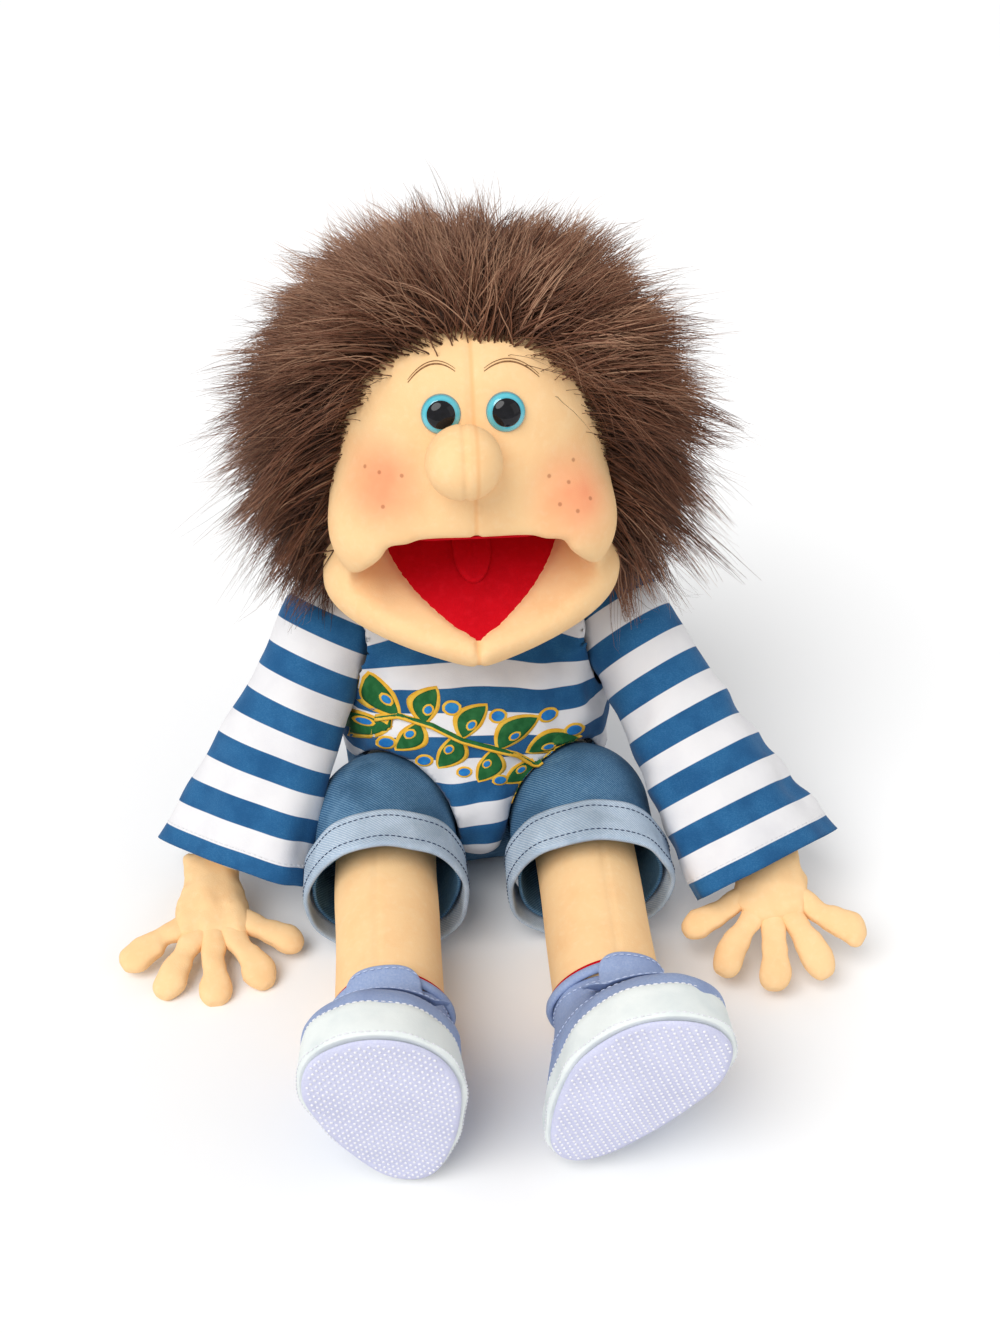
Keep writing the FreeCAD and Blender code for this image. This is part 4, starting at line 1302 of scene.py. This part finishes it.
def build_shorts():
    low, high, step = np.array([-92.0, -84.0, -2.0]), np.array([92.0, 84.0, 84.0]), 2.8

    def field(p):
        shape = body_oval(p, 4.8)
        crotch = capsule(p, (0, -30, 48), (0, -54, 40), 22, 17)
        shape = soft_min(shape, crotch, 10)
        bottom = np.maximum(1.0 - p[..., 2], 0) + (1.0 - p[..., 2])
        return soft_max(shape, bottom, 5)

    def carve(p):
        hips = np.minimum(*[capsule(p, HIP[side], HIP[side] + [0, -60, 0], 42.8, 42.8) for side, _ in SIDES])
        return np.maximum(-hips, p[..., 2] - 78)

    grid = grid_points(low, high, step)
    points, faces = surface_net(np.maximum(field(grid), carve(grid)), low, step)
    kept = np.abs(field(points)) < 1.6
    points, faces, rim = trim_sheet(points, faces, kept, 4)
    normals = normals_of(points, faces)
    points = points + normals * (wobble(points, 26, 61) * 0.9 * ~rim)[:, None]
    points[:, 2] = np.maximum(points[:, 2], 0.3)
    around = np.arctan2(points[:, 1], points[:, 0]) * 70
    seat = cloth("shorts_seat_cloth", points, faces, DENIM_THICK, DENIM, {"weft": around, "warp": points[:, 2]})
    dress(seat, "torso", "denim", "shorts_seat")

    for side, sign in SIDES:
        seed = 70 + sign

        def place(row, turn):
            along = -SHORTS_CAP + (SHORTS_END + SHORTS_CAP) * row
            cap = np.sqrt(np.clip(HIP_RADIUS ** 2 - np.clip(along, -SHORTS_CAP, 0) ** 2, 0.01, None))
            around = polar(40, turn, along)
            out = cap + ramp(along, -5, 30) * (wobble(around, 34, seed) * 1.1 - 0.4)
            return polar(out, turn, along)

        points, faces, rows, turns = fanned_tube(np.linspace(0.001, 1, 44), 110, place, -HIP_RADIUS)
        short = cloth(f"shorts_cloth_{side}", to_world(points, LEG_TURN, HIP[side]), faces, DENIM_THICK, DENIM,
                      {"weft": turns * HIP_RADIUS, "warp": rows * 94})
        dress(short, f"leg_{side}", "denim", f"shorts_leg_{side}")

        def roll(row, turn):
            """Up the outside of the turned cloth, over its fold and back inside it."""
            wave = 1.1 * np.sin(turn * 2 + sign) + 0.9 * np.sin(turn * 5 + 2 * sign) + 0.6 * np.sin(turn * 9)
            along = np.interp(row, [0, 0.40, 0.46, 0.5, 0.54, 0.60, 1], [33, 58.4, 60, 60.5, 60, 58.4, 36])
            out = np.interp(row, [0, 0.40, 0.46, 0.5, 0.54, 0.60, 1],
                            [47.0, 47.6, 47.0, 45.9, 44.8, 44.4, 43.6])
            tilt = 1.6 * np.cos(turn - 1.2 * sign)
            around = polar(44, turn, along)
            out = out + (wave + wobble(around, 22, seed + 3) * 0.6) * 0.5
            return polar(out, turn, along + tilt * ramp(along, 34, 60))

        points, faces, rows, turns = tube_sheet(np.linspace(0, 1, 46), 130, roll)
        cuff = cloth(f"cuff_cloth_{side}", to_world(points, LEG_TURN, HIP[side]), faces, 0.9, DENIM_BACK,
                     {"weft": turns * 46, "warp": rows * 60})
        dress(cuff, f"leg_{side}", "denim_reverse", f"shorts_cuff_{side}")
        navy = thread_look(f"navy_thread_{side}", (0.012, 0.03, 0.09))
        paths = []
        for share in (0.075, 0.335):
            turn = np.linspace(0, 2 * math.pi, 150)
            line = roll(np.full(150, share), turn)
            paths.append(stitches(to_world(outward(line, 0.2), LEG_TURN, HIP[side]), 2.4, 1.0, 0.32))
        seam = make_piece(f"cuff_stitches_{side}", *join(paths), navy)
        dress(seam, f"leg_{side}", "denim")


# ---- legs ------------------------------------------------------------------------------------------------
def build_legs():
    for side, sign in SIDES:
        def place(row, turn):
            along = 8 + 134 * row
            bulge = np.interp(row, [0, 0.02, 0.08, 0.9, 1], [0.3, 0.7, 1, 1, 0.93])
            around = polar(LEG_RADIUS, turn, along)
            off_seam = np.angle(np.exp(1j * (turn - math.pi / 2 + 0.18 * sign)))
            seam = np.exp(-(off_seam * LEG_RADIUS / 1.2) ** 2)
            out = LEG_RADIUS * bulge + wobble(around, 45, 80 + sign) * 0.5 - 0.9 * seam
            return polar(out, turn, along)

        points, faces = closed_tube(np.linspace(0, 1, 70), 96, place)
        leg = make_piece(f"leg_velour_{side}", to_world(points, LEG_TURN, HIP[side]), faces, plain_skin)
        dress(leg, f"leg_{side}", "skin_velour", f"leg_{side}", fill=0.85)


shirt_tree = build_shirt()
build_neckband()
build_sleeves()
build_print(shirt_tree)
build_shorts()
build_legs()


# ---- shoes -----------------------------------------------------------------------------------------------
SOLE_LIFT = 33.0
HALF_FOOT = 63.0
SHOE_STEPS = [0, 0.2, 0.46, 0.72, 1.0]
SHOE_MIDDLE = [0, 3, 12, 24, 32]
SHOE_DEEP = [30.5, 34, 44.1, 54.8, 61.1]
SHOE_WIDE = [30.5, 31.4, 33.4, 36.1, 37.2]
# How far along the leg from the hip the upper starts, and how far it goes from there to the sole.
SHOE_ANKLE = 140.0
SHOE_RISE = 64
SHOE_CIRCLE = np.linspace(0, 2 * math.pi, 120, endpoint=False)
DOT_PITCH = 4.3
DOT_RADIUS = 0.85
DOT_HEIGHT = 0.75
SOLE_SHIFT = {1: 15.0, -1: 2.0}


def sole_line(turn, sign, grow):
    """The egg-shaped outline of a sole, wide at the toe, leaning outward there."""
    share = np.sin(turn)
    wide = (25 + 13.5 * ramp(share, -0.95, 0.4)) * np.sqrt(np.clip(1 - np.abs(share) ** 3, 0, 1))
    lean = sign * (4.5 * share - SOLE_SHIFT[sign])
    x = lean + np.sign(np.cos(turn)) * wide + grow * np.cos(turn)
    y = SOLE_LIFT + HALF_FOOT * share + grow * share
    return x, y


def upper_point(step, turn, sign):
    """A point on the cloth upper: step runs from the ankle at 0 to the sole at 1."""
    middle = np.interp(step, SHOE_STEPS, SHOE_MIDDLE)
    x = np.interp(step, SHOE_STEPS, SHOE_WIDE) * np.cos(turn)
    y = middle + np.interp(step, SHOE_STEPS, SHOE_DEEP) * np.sin(turn)
    sole_x, sole_y = sole_line(turn, sign, -1.2)
    blend = ramp(step, 0.25, 1.0)
    return np.stack([x + (sole_x - x) * blend, y + (sole_y - y) * blend, SHOE_ANKLE + SHOE_RISE * step], -1)


def shoe_cloth():
    look = Look("shoe_cloth", (0.29, 0.37, 0.58), roughness=0.85, sheen=0.15, specular=0.15)
    look.mottle((0.40, 0.48, 0.66), look.noise(800, 3, 0.7), 0.4, 0.7, 0.7)
    look.mottle((0.23, 0.29, 0.49), look.noise(50, 3), 0.45, 0.7, 0.6)
    look.raise_by(look.noise(1500, 2), 0.3, 0.0004)
    return look.done()


def bumper_look():
    look = Look("shoe_edge", (0.80, 0.84, 0.82), roughness=0.6, sheen=0.05, specular=0.3)
    look.mottle((0.66, 0.72, 0.72), look.noise(60, 3), 0.45, 0.75, 0.7)
    look.raise_by(look.noise(900, 3), 0.15, 0.0004)
    look.raise_by(look.noise(110, 3), 0.25, 0.0012)
    return look.done()


def sole_look():
    look = Look("sole_cloth", (0.60, 0.61, 0.80), roughness=0.85, sheen=0.1, specular=0.15)
    look.mottle((0.70, 0.71, 0.85), look.noise(900, 3, 0.7), 0.4, 0.7)
    look.mottle((0.52, 0.53, 0.70), look.noise(35, 3), 0.45, 0.75, 0.6)
    look.raise_by(look.noise(1300, 3, 0.7), 0.35, 0.0004)
    return look.done()


def dome(centre, radius, height, turns=8):
    """A small moulded dot."""
    angle = np.linspace(0, 2 * math.pi, turns, endpoint=False)
    rings = []
    for share in (1.0, 0.72):
        ring = np.stack([radius * share * np.cos(angle), radius * share * np.sin(angle),
                         np.full(turns, height * (0 if share == 1 else 0.75))], 1)
        rings.append(ring)
    points = np.concatenate([*rings, [[0, 0, height]]]) + centre
    faces = [list(range(turns - 1, -1, -1))]
    for k in range(turns):
        j = (k + 1) % turns
        faces.append([k, j, turns + j, turns + k])
        faces.append([turns + k, turns + j, 2 * turns])
    return points, faces


def closed_rope(path, radius, flat, sides=10):
    """A flattened rope along a closed path."""
    along = unit(np.roll(path, -1, 0) - np.roll(path, 1, 0))
    out = unit(path - path.mean(0))
    out = unit(out - (out * along).sum(1, keepdims=True) * along)
    over = np.cross(along, out)
    angle = np.linspace(0, 2 * math.pi, sides, endpoint=False)[None, :, None]
    ring = np.cos(angle) * out[:, None] + flat * np.sin(angle) * over[:, None]
    points = (path[:, None] + ring * radius).reshape(-1, 3)
    i, j = np.meshgrid(np.arange(len(path)), np.arange(sides), indexing="ij")
    here, there = i * sides, (i + 1) % len(path) * sides
    after = (j + 1) % sides
    return points, np.stack([here + j, there + j, there + after, here + after], -1).reshape(-1, 4).tolist()


def upper(row, turn, sign):
    """The cloth upper with its toe seam and creases."""
    out = upper_point(row, turn, sign)
    normal = np.stack([np.cos(turn), np.sin(turn), np.zeros_like(turn)], -1)
    around = out + [0, 0, 300 * (sign > 0)]
    seam = np.exp(-((row - 0.60 - 0.10 * np.cos(2 * turn)) / 0.012) ** 2)
    push = wobble(around, 24, 90) * 0.7 - 0.7 * seam + 1.4 * np.sin(row * math.pi)
    return out + normal * push[..., None]


def shoe_tongue(row, turn):
    """The rounded flap in front of the ankle."""
    across = (row - 0.5) * 2
    high = np.cos(turn) * 14 * np.sqrt(np.clip(1 - (across * 0.98) ** 4, 0, 1))
    angle = math.pi / 2 + across * 0.62
    out = 33.6 + np.sin(turn) * 1.4 + 0.25 * np.abs(high + 3)
    return polar(out, angle, 145 + high)


def bumper(row, turn, sign):
    """From under the sole, out over the edge and up round the toe."""
    lift = 9 * ramp(np.sin(turn), -0.3, 0.75)
    z = np.interp(row, [0, 0.15, 0.3, 0.75, 0.9, 1], [213.2, 213.2, 212, 204, 203, 204])
    z = z - lift * ramp(row, 0.3, 0.85) * (row < 0.95)
    z = z - (row >= 0.95) * lift
    grow = np.interp(row, [0, 0.12, 0.3, 0.7, 0.9, 1], [-7, -0.6, 1.2, 1.6, 0.6, -2.0])
    ripple = 0.35 * np.sin(turn * 11 + 3 * row) * (row > 0.25)
    grow = grow - lift * 0.24 * ramp(row, 0.3, 0.9) + ripple
    return np.stack([*sole_line(turn, sign, grow), z], -1)


def tread(row, turn, sign):
    """The sole, rounded over its edge and drawn in to its middle."""
    share = np.interp(row, [0, 0.06, 0.14, 1], [0.97, 1.0, 0.985, 0.012])
    z = np.interp(row, [0, 0.06, 0.14, 1], [213.4, 214.6, 215.8, 217.6])
    x, y = sole_line(turn, sign, -1.4)
    middle_x = -sign * SOLE_SHIFT[sign]
    middle_y = SOLE_LIFT + 4
    return np.stack([middle_x + (x - middle_x) * share, middle_y + (y - middle_y) * share, z], -1)


def strap(row, turn, sign):
    """Over the instep, turned up a little at both ends."""
    across = (row - 0.5) * 2
    angle = math.pi / 2 - across * 0.98
    half = 8.8 * np.clip(1 - np.abs(across) ** 14, 0.2, 1)
    up = np.cos(turn) * half
    flare = 3.6 + 5 * ramp(np.abs(across), 0.78, 1.0) + 0.12 * (up - 4) * ramp(np.abs(across), 0.5, 1)
    base = upper_point(0.36 + up / SHOE_RISE, angle, sign)
    normal = unit(np.stack([np.cos(angle), np.sin(angle), -0.35 + 0 * angle], -1))
    return base + normal * (flare + np.sin(turn) * 1.2)[..., None]


def grip_marks(points, quads, sign):
    """Dots in staggered rows, set down on the sole where it is under them."""
    sole_tree = BVHTree.FromPolygons([Vector(p) for p in points], quads)
    edge_x, edge_y = sole_line(SHOE_CIRCLE, sign, -4.2)
    marks = []
    for i in range(-15, 16):
        for j in range(-26, 27):
            x = (i + 0.5 * (j % 2)) * DOT_PITCH
            y = SOLE_LIFT + j * DOT_PITCH * 0.56
            row_x = edge_x[np.argsort(np.abs(edge_y - y))[:6]]
            if abs(y - SOLE_LIFT) > HALF_FOOT - 5 or not row_x.min() < x < row_x.max():
                continue
            hit = sole_tree.ray_cast(Vector((x, y, 240)), Vector((0, 0, -1)))[0]
            if hit:
                marks.append(dome(np.array(hit) - [0, 0, 0.1], DOT_RADIUS, DOT_HEIGHT))
    return join(marks)


def build_ankle(add):
    """A blue rim, the red lining inside it and the tongue in front."""
    circle = SHOE_CIRCLE
    gape = 1.2 * np.cos(2 * circle)
    rim = np.stack([(31.3 + gape) * np.cos(circle), (31.3 - gape * 0.4) * np.sin(circle),
                    139.0 - 2.5 * np.clip(np.sin(circle), 0, 1) + 1.5 * np.cos(circle * 2)], 1)
    add("shoe_collar", *closed_rope(rim, 1.9, 1.5), "blue", "shoe_cloth", fill=0.7)
    inner = rim * [0.968, 0.968, 1] - [0, 0, 2.4]
    add("shoe_lining", *closed_rope(inner, 1.5, 1.8), "red", "mouth_velour", fill=0.6)
    points, faces = closed_tube(np.linspace(0.02, 0.98, 40), 36, shoe_tongue)
    add("shoe_tongue", points, faces, "blue", "shoe_cloth", fill=0.6)


def build_sole(add, sign):
    points, faces = closed_tube(np.linspace(0, 1, 34), 160, bumper, sign)
    faces = [face[::-1] for face in faces]
    add("shoe_bumper_rubber", points, faces, "white", "shoe_edge", "shoe_bumper", fill=0.9)
    rows = np.concatenate([np.linspace(0, 0.14, 9), np.linspace(0.2, 1, 22)])
    points, faces = closed_tube(rows, 140, tread, sign)
    points[:, 2] += 0.35 * wobble(points, 30, 95)
    add("shoe_sole_cloth", points, faces, "grip", "sole_cloth", "shoe_sole", fill=0.9)
    add("shoe_grip_dots", *grip_marks(points, faces[:-2], sign), "dots", "sole_cloth")


def build_shoe_threads(add, sign):
    closed = np.linspace(0, 2 * math.pi, 121)
    threads = []
    for row, out in ((0.30, 0.25), (0.86, 0.3)):
        line = bumper(np.full(len(closed), row), closed, sign)
        threads.append(stitches(outward(line, out, line.mean(0)), 2.2, 1.1, 0.30))
    add("bumper_stitches", *join(threads), "dots", "shoe_edge")
    threads = []
    for row in (0.09, 0.52):
        line = upper(np.full(len(closed), row), closed, sign)
        threads.append(stitches(outward(line, 0.3, line.mean(0)), 2.4, 1.4, 0.32))
    line = shoe_tongue(np.linspace(0.08, 0.92, 50), np.full(50, 2.55))
    threads.append(stitches(outward(line, 0.6), 2.4, 1.4, 0.32))
    add("upper_stitches", *join(threads), "pale", "shoe_cloth")


def build_strap(add, side, sign):
    points, faces = closed_tube(np.linspace(0, 1, 70), 40, strap, sign)
    add("strap_cloth", points, faces, "blue", "shoe_cloth", "shoe_strap", fill=0.6, body=f"strap_{side}")
    border = []
    for turn in (0.55, math.pi - 0.55):
        line = strap(np.linspace(0.05, 0.95, 70), np.full(70, turn), sign)
        border.append(stitches(outward(line, 0.25), 2.4, 1.3, 0.30))
    add("strap_stitches", *join(border), "pale", "shoe_cloth", body=f"strap_{side}")


def build_shoes():
    looks = {"blue": shoe_cloth(), "white": bumper_look(), "grip": sole_look(), "red": red_velour(),
             "dots": thread_look("grip_dots", (0.88, 0.88, 0.92)),
             "pale": thread_look("shoe_thread", (0.62, 0.70, 0.90))}
    for side, sign in SIDES:
        def add(name, points, faces, look, slot, *nodes, fill=None, body=f"leg_{side}"):
            world = to_world(points, SHOE_TURN[side], HIP[side])
            piece = make_piece(f"{name}_{side}", world, faces, looks[look])
            dress(piece, body, slot, *[f"{node}_{side}" for node in nodes], fill=fill)

        points, faces = closed_tube(np.linspace(0, 1, 60), 120, upper, sign)
        add("shoe_upper_cloth", points, faces, "blue", "shoe_cloth", "shoe_upper", fill=0.8)
        build_ankle(add)
        build_sole(add, sign)
        build_shoe_threads(add, sign)
        build_strap(add, side, sign)


# ---- glove hands -----------------------------------------------------------------------------------------
DIGITS = ("thumb", "index", "middle", "ring", "little")
PALM_MIDDLE = 19.0
DIGIT_STEP = 30


def build_hands():
    for side, sign in SIDES:
        axes, wrist = HAND_AXES[side], WRIST[side]
        centre = wrist + axes @ np.array([0, 0, PALM_MIDDLE])

        def palm(p, seed=100 + sign):
            x, y, z = p[..., 0], p[..., 1], p[..., 2] - 2
            wide = 20.5 + 2.5 * ramp(z, -12, 14)
            body = (np.abs(x / wide) ** 2.3 + np.abs(y / 9.5) ** 2.3 + np.abs(z / 21) ** 3) ** (1 / 2.4)
            shape = (body - 1) * 9.5
            cuff = (np.sqrt((x / 16) ** 2 + (y / 10) ** 2) - 1) * 10
            cuff = np.maximum(cuff, np.maximum(z, -38 - z))
            shape = soft_min(shape, cuff, 5)
            fold = wobble(p * np.array([1.0, 0.6, 0.6]), 17, seed) * 0.9 + wobble(p, 9, seed + 3) * 0.3
            return shape - fold

        low, high = np.array([-28.0, -16.0, -40.0]), np.array([28.0, 16.0, 28.0])
        piece = net_piece(f"palm_glove_{side}", palm, low, high, 1.6, axes, centre, plain_skin)
        dress(piece, f"hand_{side}", "skin_velour", f"palm_{side}", fill=0.3)
        for place, digit in enumerate(DIGITS):
            way = axes @ turn_y((place - 2) * DIGIT_STEP * sign)
            seed = 110 + place * 7 + sign

            def finger(p):
                x, z = p[..., 0], p[..., 2]
                drop = 0.0045 * np.clip(z - 26, 0, 60) ** 2
                y = p[..., 1] + drop - 0.6
                reach = 61.5 - (3.0 if place == 0 else 0)
                wide = np.interp(z, [8, 20, 34, 50, 64], [6.0, 7.2, 7.6, 9.6, 9.8])
                thick = np.interp(z, [8, 20, 34, 50, 64], [5.0, 5.6, 5.2, 6.0, 6.0])
                end = ramp(z, reach - 17, reach + 3)
                round_end = np.sqrt(np.clip(1 - (np.clip(z - reach + 11, 0, 11) / 11) ** 2, 0.0001, 1))
                across = np.abs(x) / (wide * round_end)
                through = np.abs(y) / (thick * round_end ** 0.7)
                shape = ((across ** 2.4 + through ** 2.4) ** (1 / 2.4) - 1) * 5.5
                shape = np.maximum(shape, np.maximum(z - reach, 6 - z))
                dent = np.exp(-((z - 33) / 4) ** 2) * (1 + 0.5 * np.sin(x / 3))
                dent = dent + 0.8 * np.exp(-((z - 42) / 3) ** 2)
                fold = wobble(p * np.array([0.8, 0.5, 0.9]), 15, seed) * 0.75
                edge = np.exp(-(y / 0.7) ** 2) * 0.5 * (1 - end)
                return shape + dent * 0.55 - fold + edge

            low, high = np.array([-14.0, -20.0, 2.0]), np.array([14.0, 12.0, 66.0])
            piece = net_piece(f"{digit}_glove_{side}", finger, low, high, 1.3, way, centre, plain_skin)
            start = to_world([[0, 0, 21]], way, centre)[0] * MM
            end = to_world([[0, 0, 33]], way, centre)[0] * MM
            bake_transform(piece)
            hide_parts(f"{digit}_{side}")


# ---- what shows inside and behind ------------------------------------------------------------------------
def build_neck():
    def place(row, turn):
        out = 22.5 - 8 * row + 0.9 * np.sin(row * 26 + 1.5 * np.sin(turn * 2))
        return np.stack([-4 - 3 * row + out * np.cos(turn), 20 + out * np.sin(turn), 160 + 60 * row], -1)

    points, faces = closed_tube(np.linspace(0, 1, 50), 72, place)
    neck = make_piece("neck_cloth", points, faces, plain_skin)
    dress(neck, "neck", "skin_velour", "neck_tube", fill=0.7)


def build_nape():
    """The gathered cuff that a hand goes in through."""
    def place(row, turn):
        pleat = 0.8 * np.sin(turn * 26) * (0.3 + ramp(row, 0.1, 0.9))
        out = 36.3 + pleat + 0.5 * np.cos(row * 9)
        return np.stack([out * np.cos(turn), 81 + 24 * row, NAPE_HEIGHT + out * np.sin(turn)], -1)

    points, faces, _, _ = tube_sheet(np.linspace(0, 1, 30), 208, place)
    cuff = cloth("nape_cuff", to_world(points, HEAD_TURN, HINGE), faces[:, ::-1], 1.2, plain_skin)
    dress(cuff, "head", "skin_velour", "hand_entry_cuff")


def dress_inside():
    """Materials for the CAD pieces that stay as they are."""
    def bag_cloth(name, colour, light, below=None):
        look = Look(name, colour, roughness=0.9, sheen=0.1, specular=0.1).use_object_place()
        look.mottle(light, look.noise(500, 3, 0.7), 0.4, 0.65)
        if below:
            height = look.node("ShaderNodeSeparateXYZ")
            look.links.new(look.place, height.inputs[0])
            look.paint(below, look.scaled(height.outputs[2], 0.048, 0.050, 1.0, 0.0))
        look.raise_by(look.noise(1300, 2), 0.3, 0.0004)
        return look.done()

    calico = bag_cloth("calico", CALICO, CALICO_LIGHT)
    bag = bag_cloth("bag_calico", CALICO, CALICO_LIGHT, below=(0.055, 0.155, 0.29))
    board = bag_cloth("board", (0.22, 0.20, 0.18), (0.30, 0.28, 0.25))
    elastic = bag_cloth("elastic", (0.05, 0.05, 0.055), (0.11, 0.11, 0.12))
    foam = bag_cloth("head_foam", (0.78, 0.60, 0.40), (0.85, 0.68, 0.48))
    plastic = Look("washer", (0.7, 0.7, 0.72), roughness=0.35, specular=0.5).use_object_place()
    plastic.mottle((0.6, 0.6, 0.62), plastic.noise(300), 0.4, 0.7)
    washer = plastic.done()
    inside = {"torso_bag": bag, "shorts_waistband": elastic, "upper_mouth_board": board,
              "lower_mouth_board": board, "finger_strap": elastic, "thumb_strap": elastic, "head_base": foam}
    for side, _ in SIDES:
        inside[f"arm_{side}"] = calico
        inside[f"shoulder_ball_{side}"] = calico
        inside[f"eye_washer_{side}"] = washer
    for node, material in inside.items():
        mesh = bpy.data.objects[node].data
        mesh.materials.clear()
        mesh.materials.append(material)


build_shoes()
build_hands()
build_neck()
build_nape()
dress_inside()


# ---- floor, light and camera -----------------------------------------------------------------------------
LAMP_TARGET = Vector((0, 0, 0.15))
AREA_LAMPS = (("fill", (1.2, -0.8, 1.0), 1.2, 2.0), ("rear", (0.3, 1.3, 1.4), 1.0, 3.0))
SUN_PLACE = (-0.7, -0.75, 1.5)
SUN_STRENGTH = 2.1
SUN_ANGLE = 45
SKY_STRENGTH = 0.55
FLOOR_GREY = (0.93, 0.93, 0.93)
FLOOR_REACH = 3
CAMERA_AIM = Vector((0.010, -0.07, 0.17))
CAMERA_DISTANCE = 0.82
CAMERA_LIFT = 36.5
CAMERA_SIDE = -4.5
CAMERA_LENS = 40.5


def build_floor():
    mesh = bpy.data.meshes.new("floor")
    corners = [(x * FLOOR_REACH, y * FLOOR_REACH, 0) for x, y in ((-1, -1), (1, -1), (1, 1), (-1, 1))]
    mesh.from_pydata(corners, [], [[0, 1, 2, 3]])
    floor = bpy.data.objects.new("floor", mesh)
    bpy.context.scene.collection.objects.link(floor)
    mesh.materials.append(Look("floor", FLOOR_GREY, roughness=0.9, specular=0.1).done())


def build_lights():
    world = bpy.data.worlds.new("studio")
    bpy.context.scene.world = world
    world.use_nodes = True
    sky = world.node_tree.nodes["Background"]
    sky.inputs["Color"].default_value = (1, 1, 1, 1)
    sky.inputs["Strength"].default_value = SKY_STRENGTH
    sun = bpy.data.lights.new("sun", "SUN")
    sun.energy = SUN_STRENGTH
    sun.angle = math.radians(SUN_ANGLE)
    lamps = [("sun", sun, SUN_PLACE)]
    for name, spot, size, power in AREA_LAMPS:
        lamp = bpy.data.lights.new(name, "AREA")
        lamp.size = size
        lamp.energy = power
        lamps.append((name, lamp, spot))
    for name, lamp, spot in lamps:
        thing = bpy.data.objects.new(name, lamp)
        bpy.context.scene.collection.objects.link(thing)
        thing.location = spot
        thing.rotation_euler = (LAMP_TARGET - Vector(spot)).to_track_quat("-Z", "Y").to_euler()


def build_camera():
    lift = math.radians(CAMERA_LIFT)
    side = math.radians(CAMERA_SIDE)
    camera = bpy.data.cameras.new("camera")
    camera.sensor_fit = "VERTICAL"
    camera.sensor_height = 36
    camera.lens = CAMERA_LENS
    thing = bpy.data.objects.new("camera", camera)
    bpy.context.scene.collection.objects.link(thing)
    away = Vector((math.sin(side) * math.cos(lift), -math.cos(side) * math.cos(lift), math.sin(lift)))
    thing.location = CAMERA_AIM + away * CAMERA_DISTANCE
    thing.rotation_euler = (-away).to_track_quat("-Z", "Y").to_euler()
    bpy.context.scene.camera = thing


build_floor()
build_lights()
build_camera()
bpy.context.scene.view_settings.view_transform = "Standard"
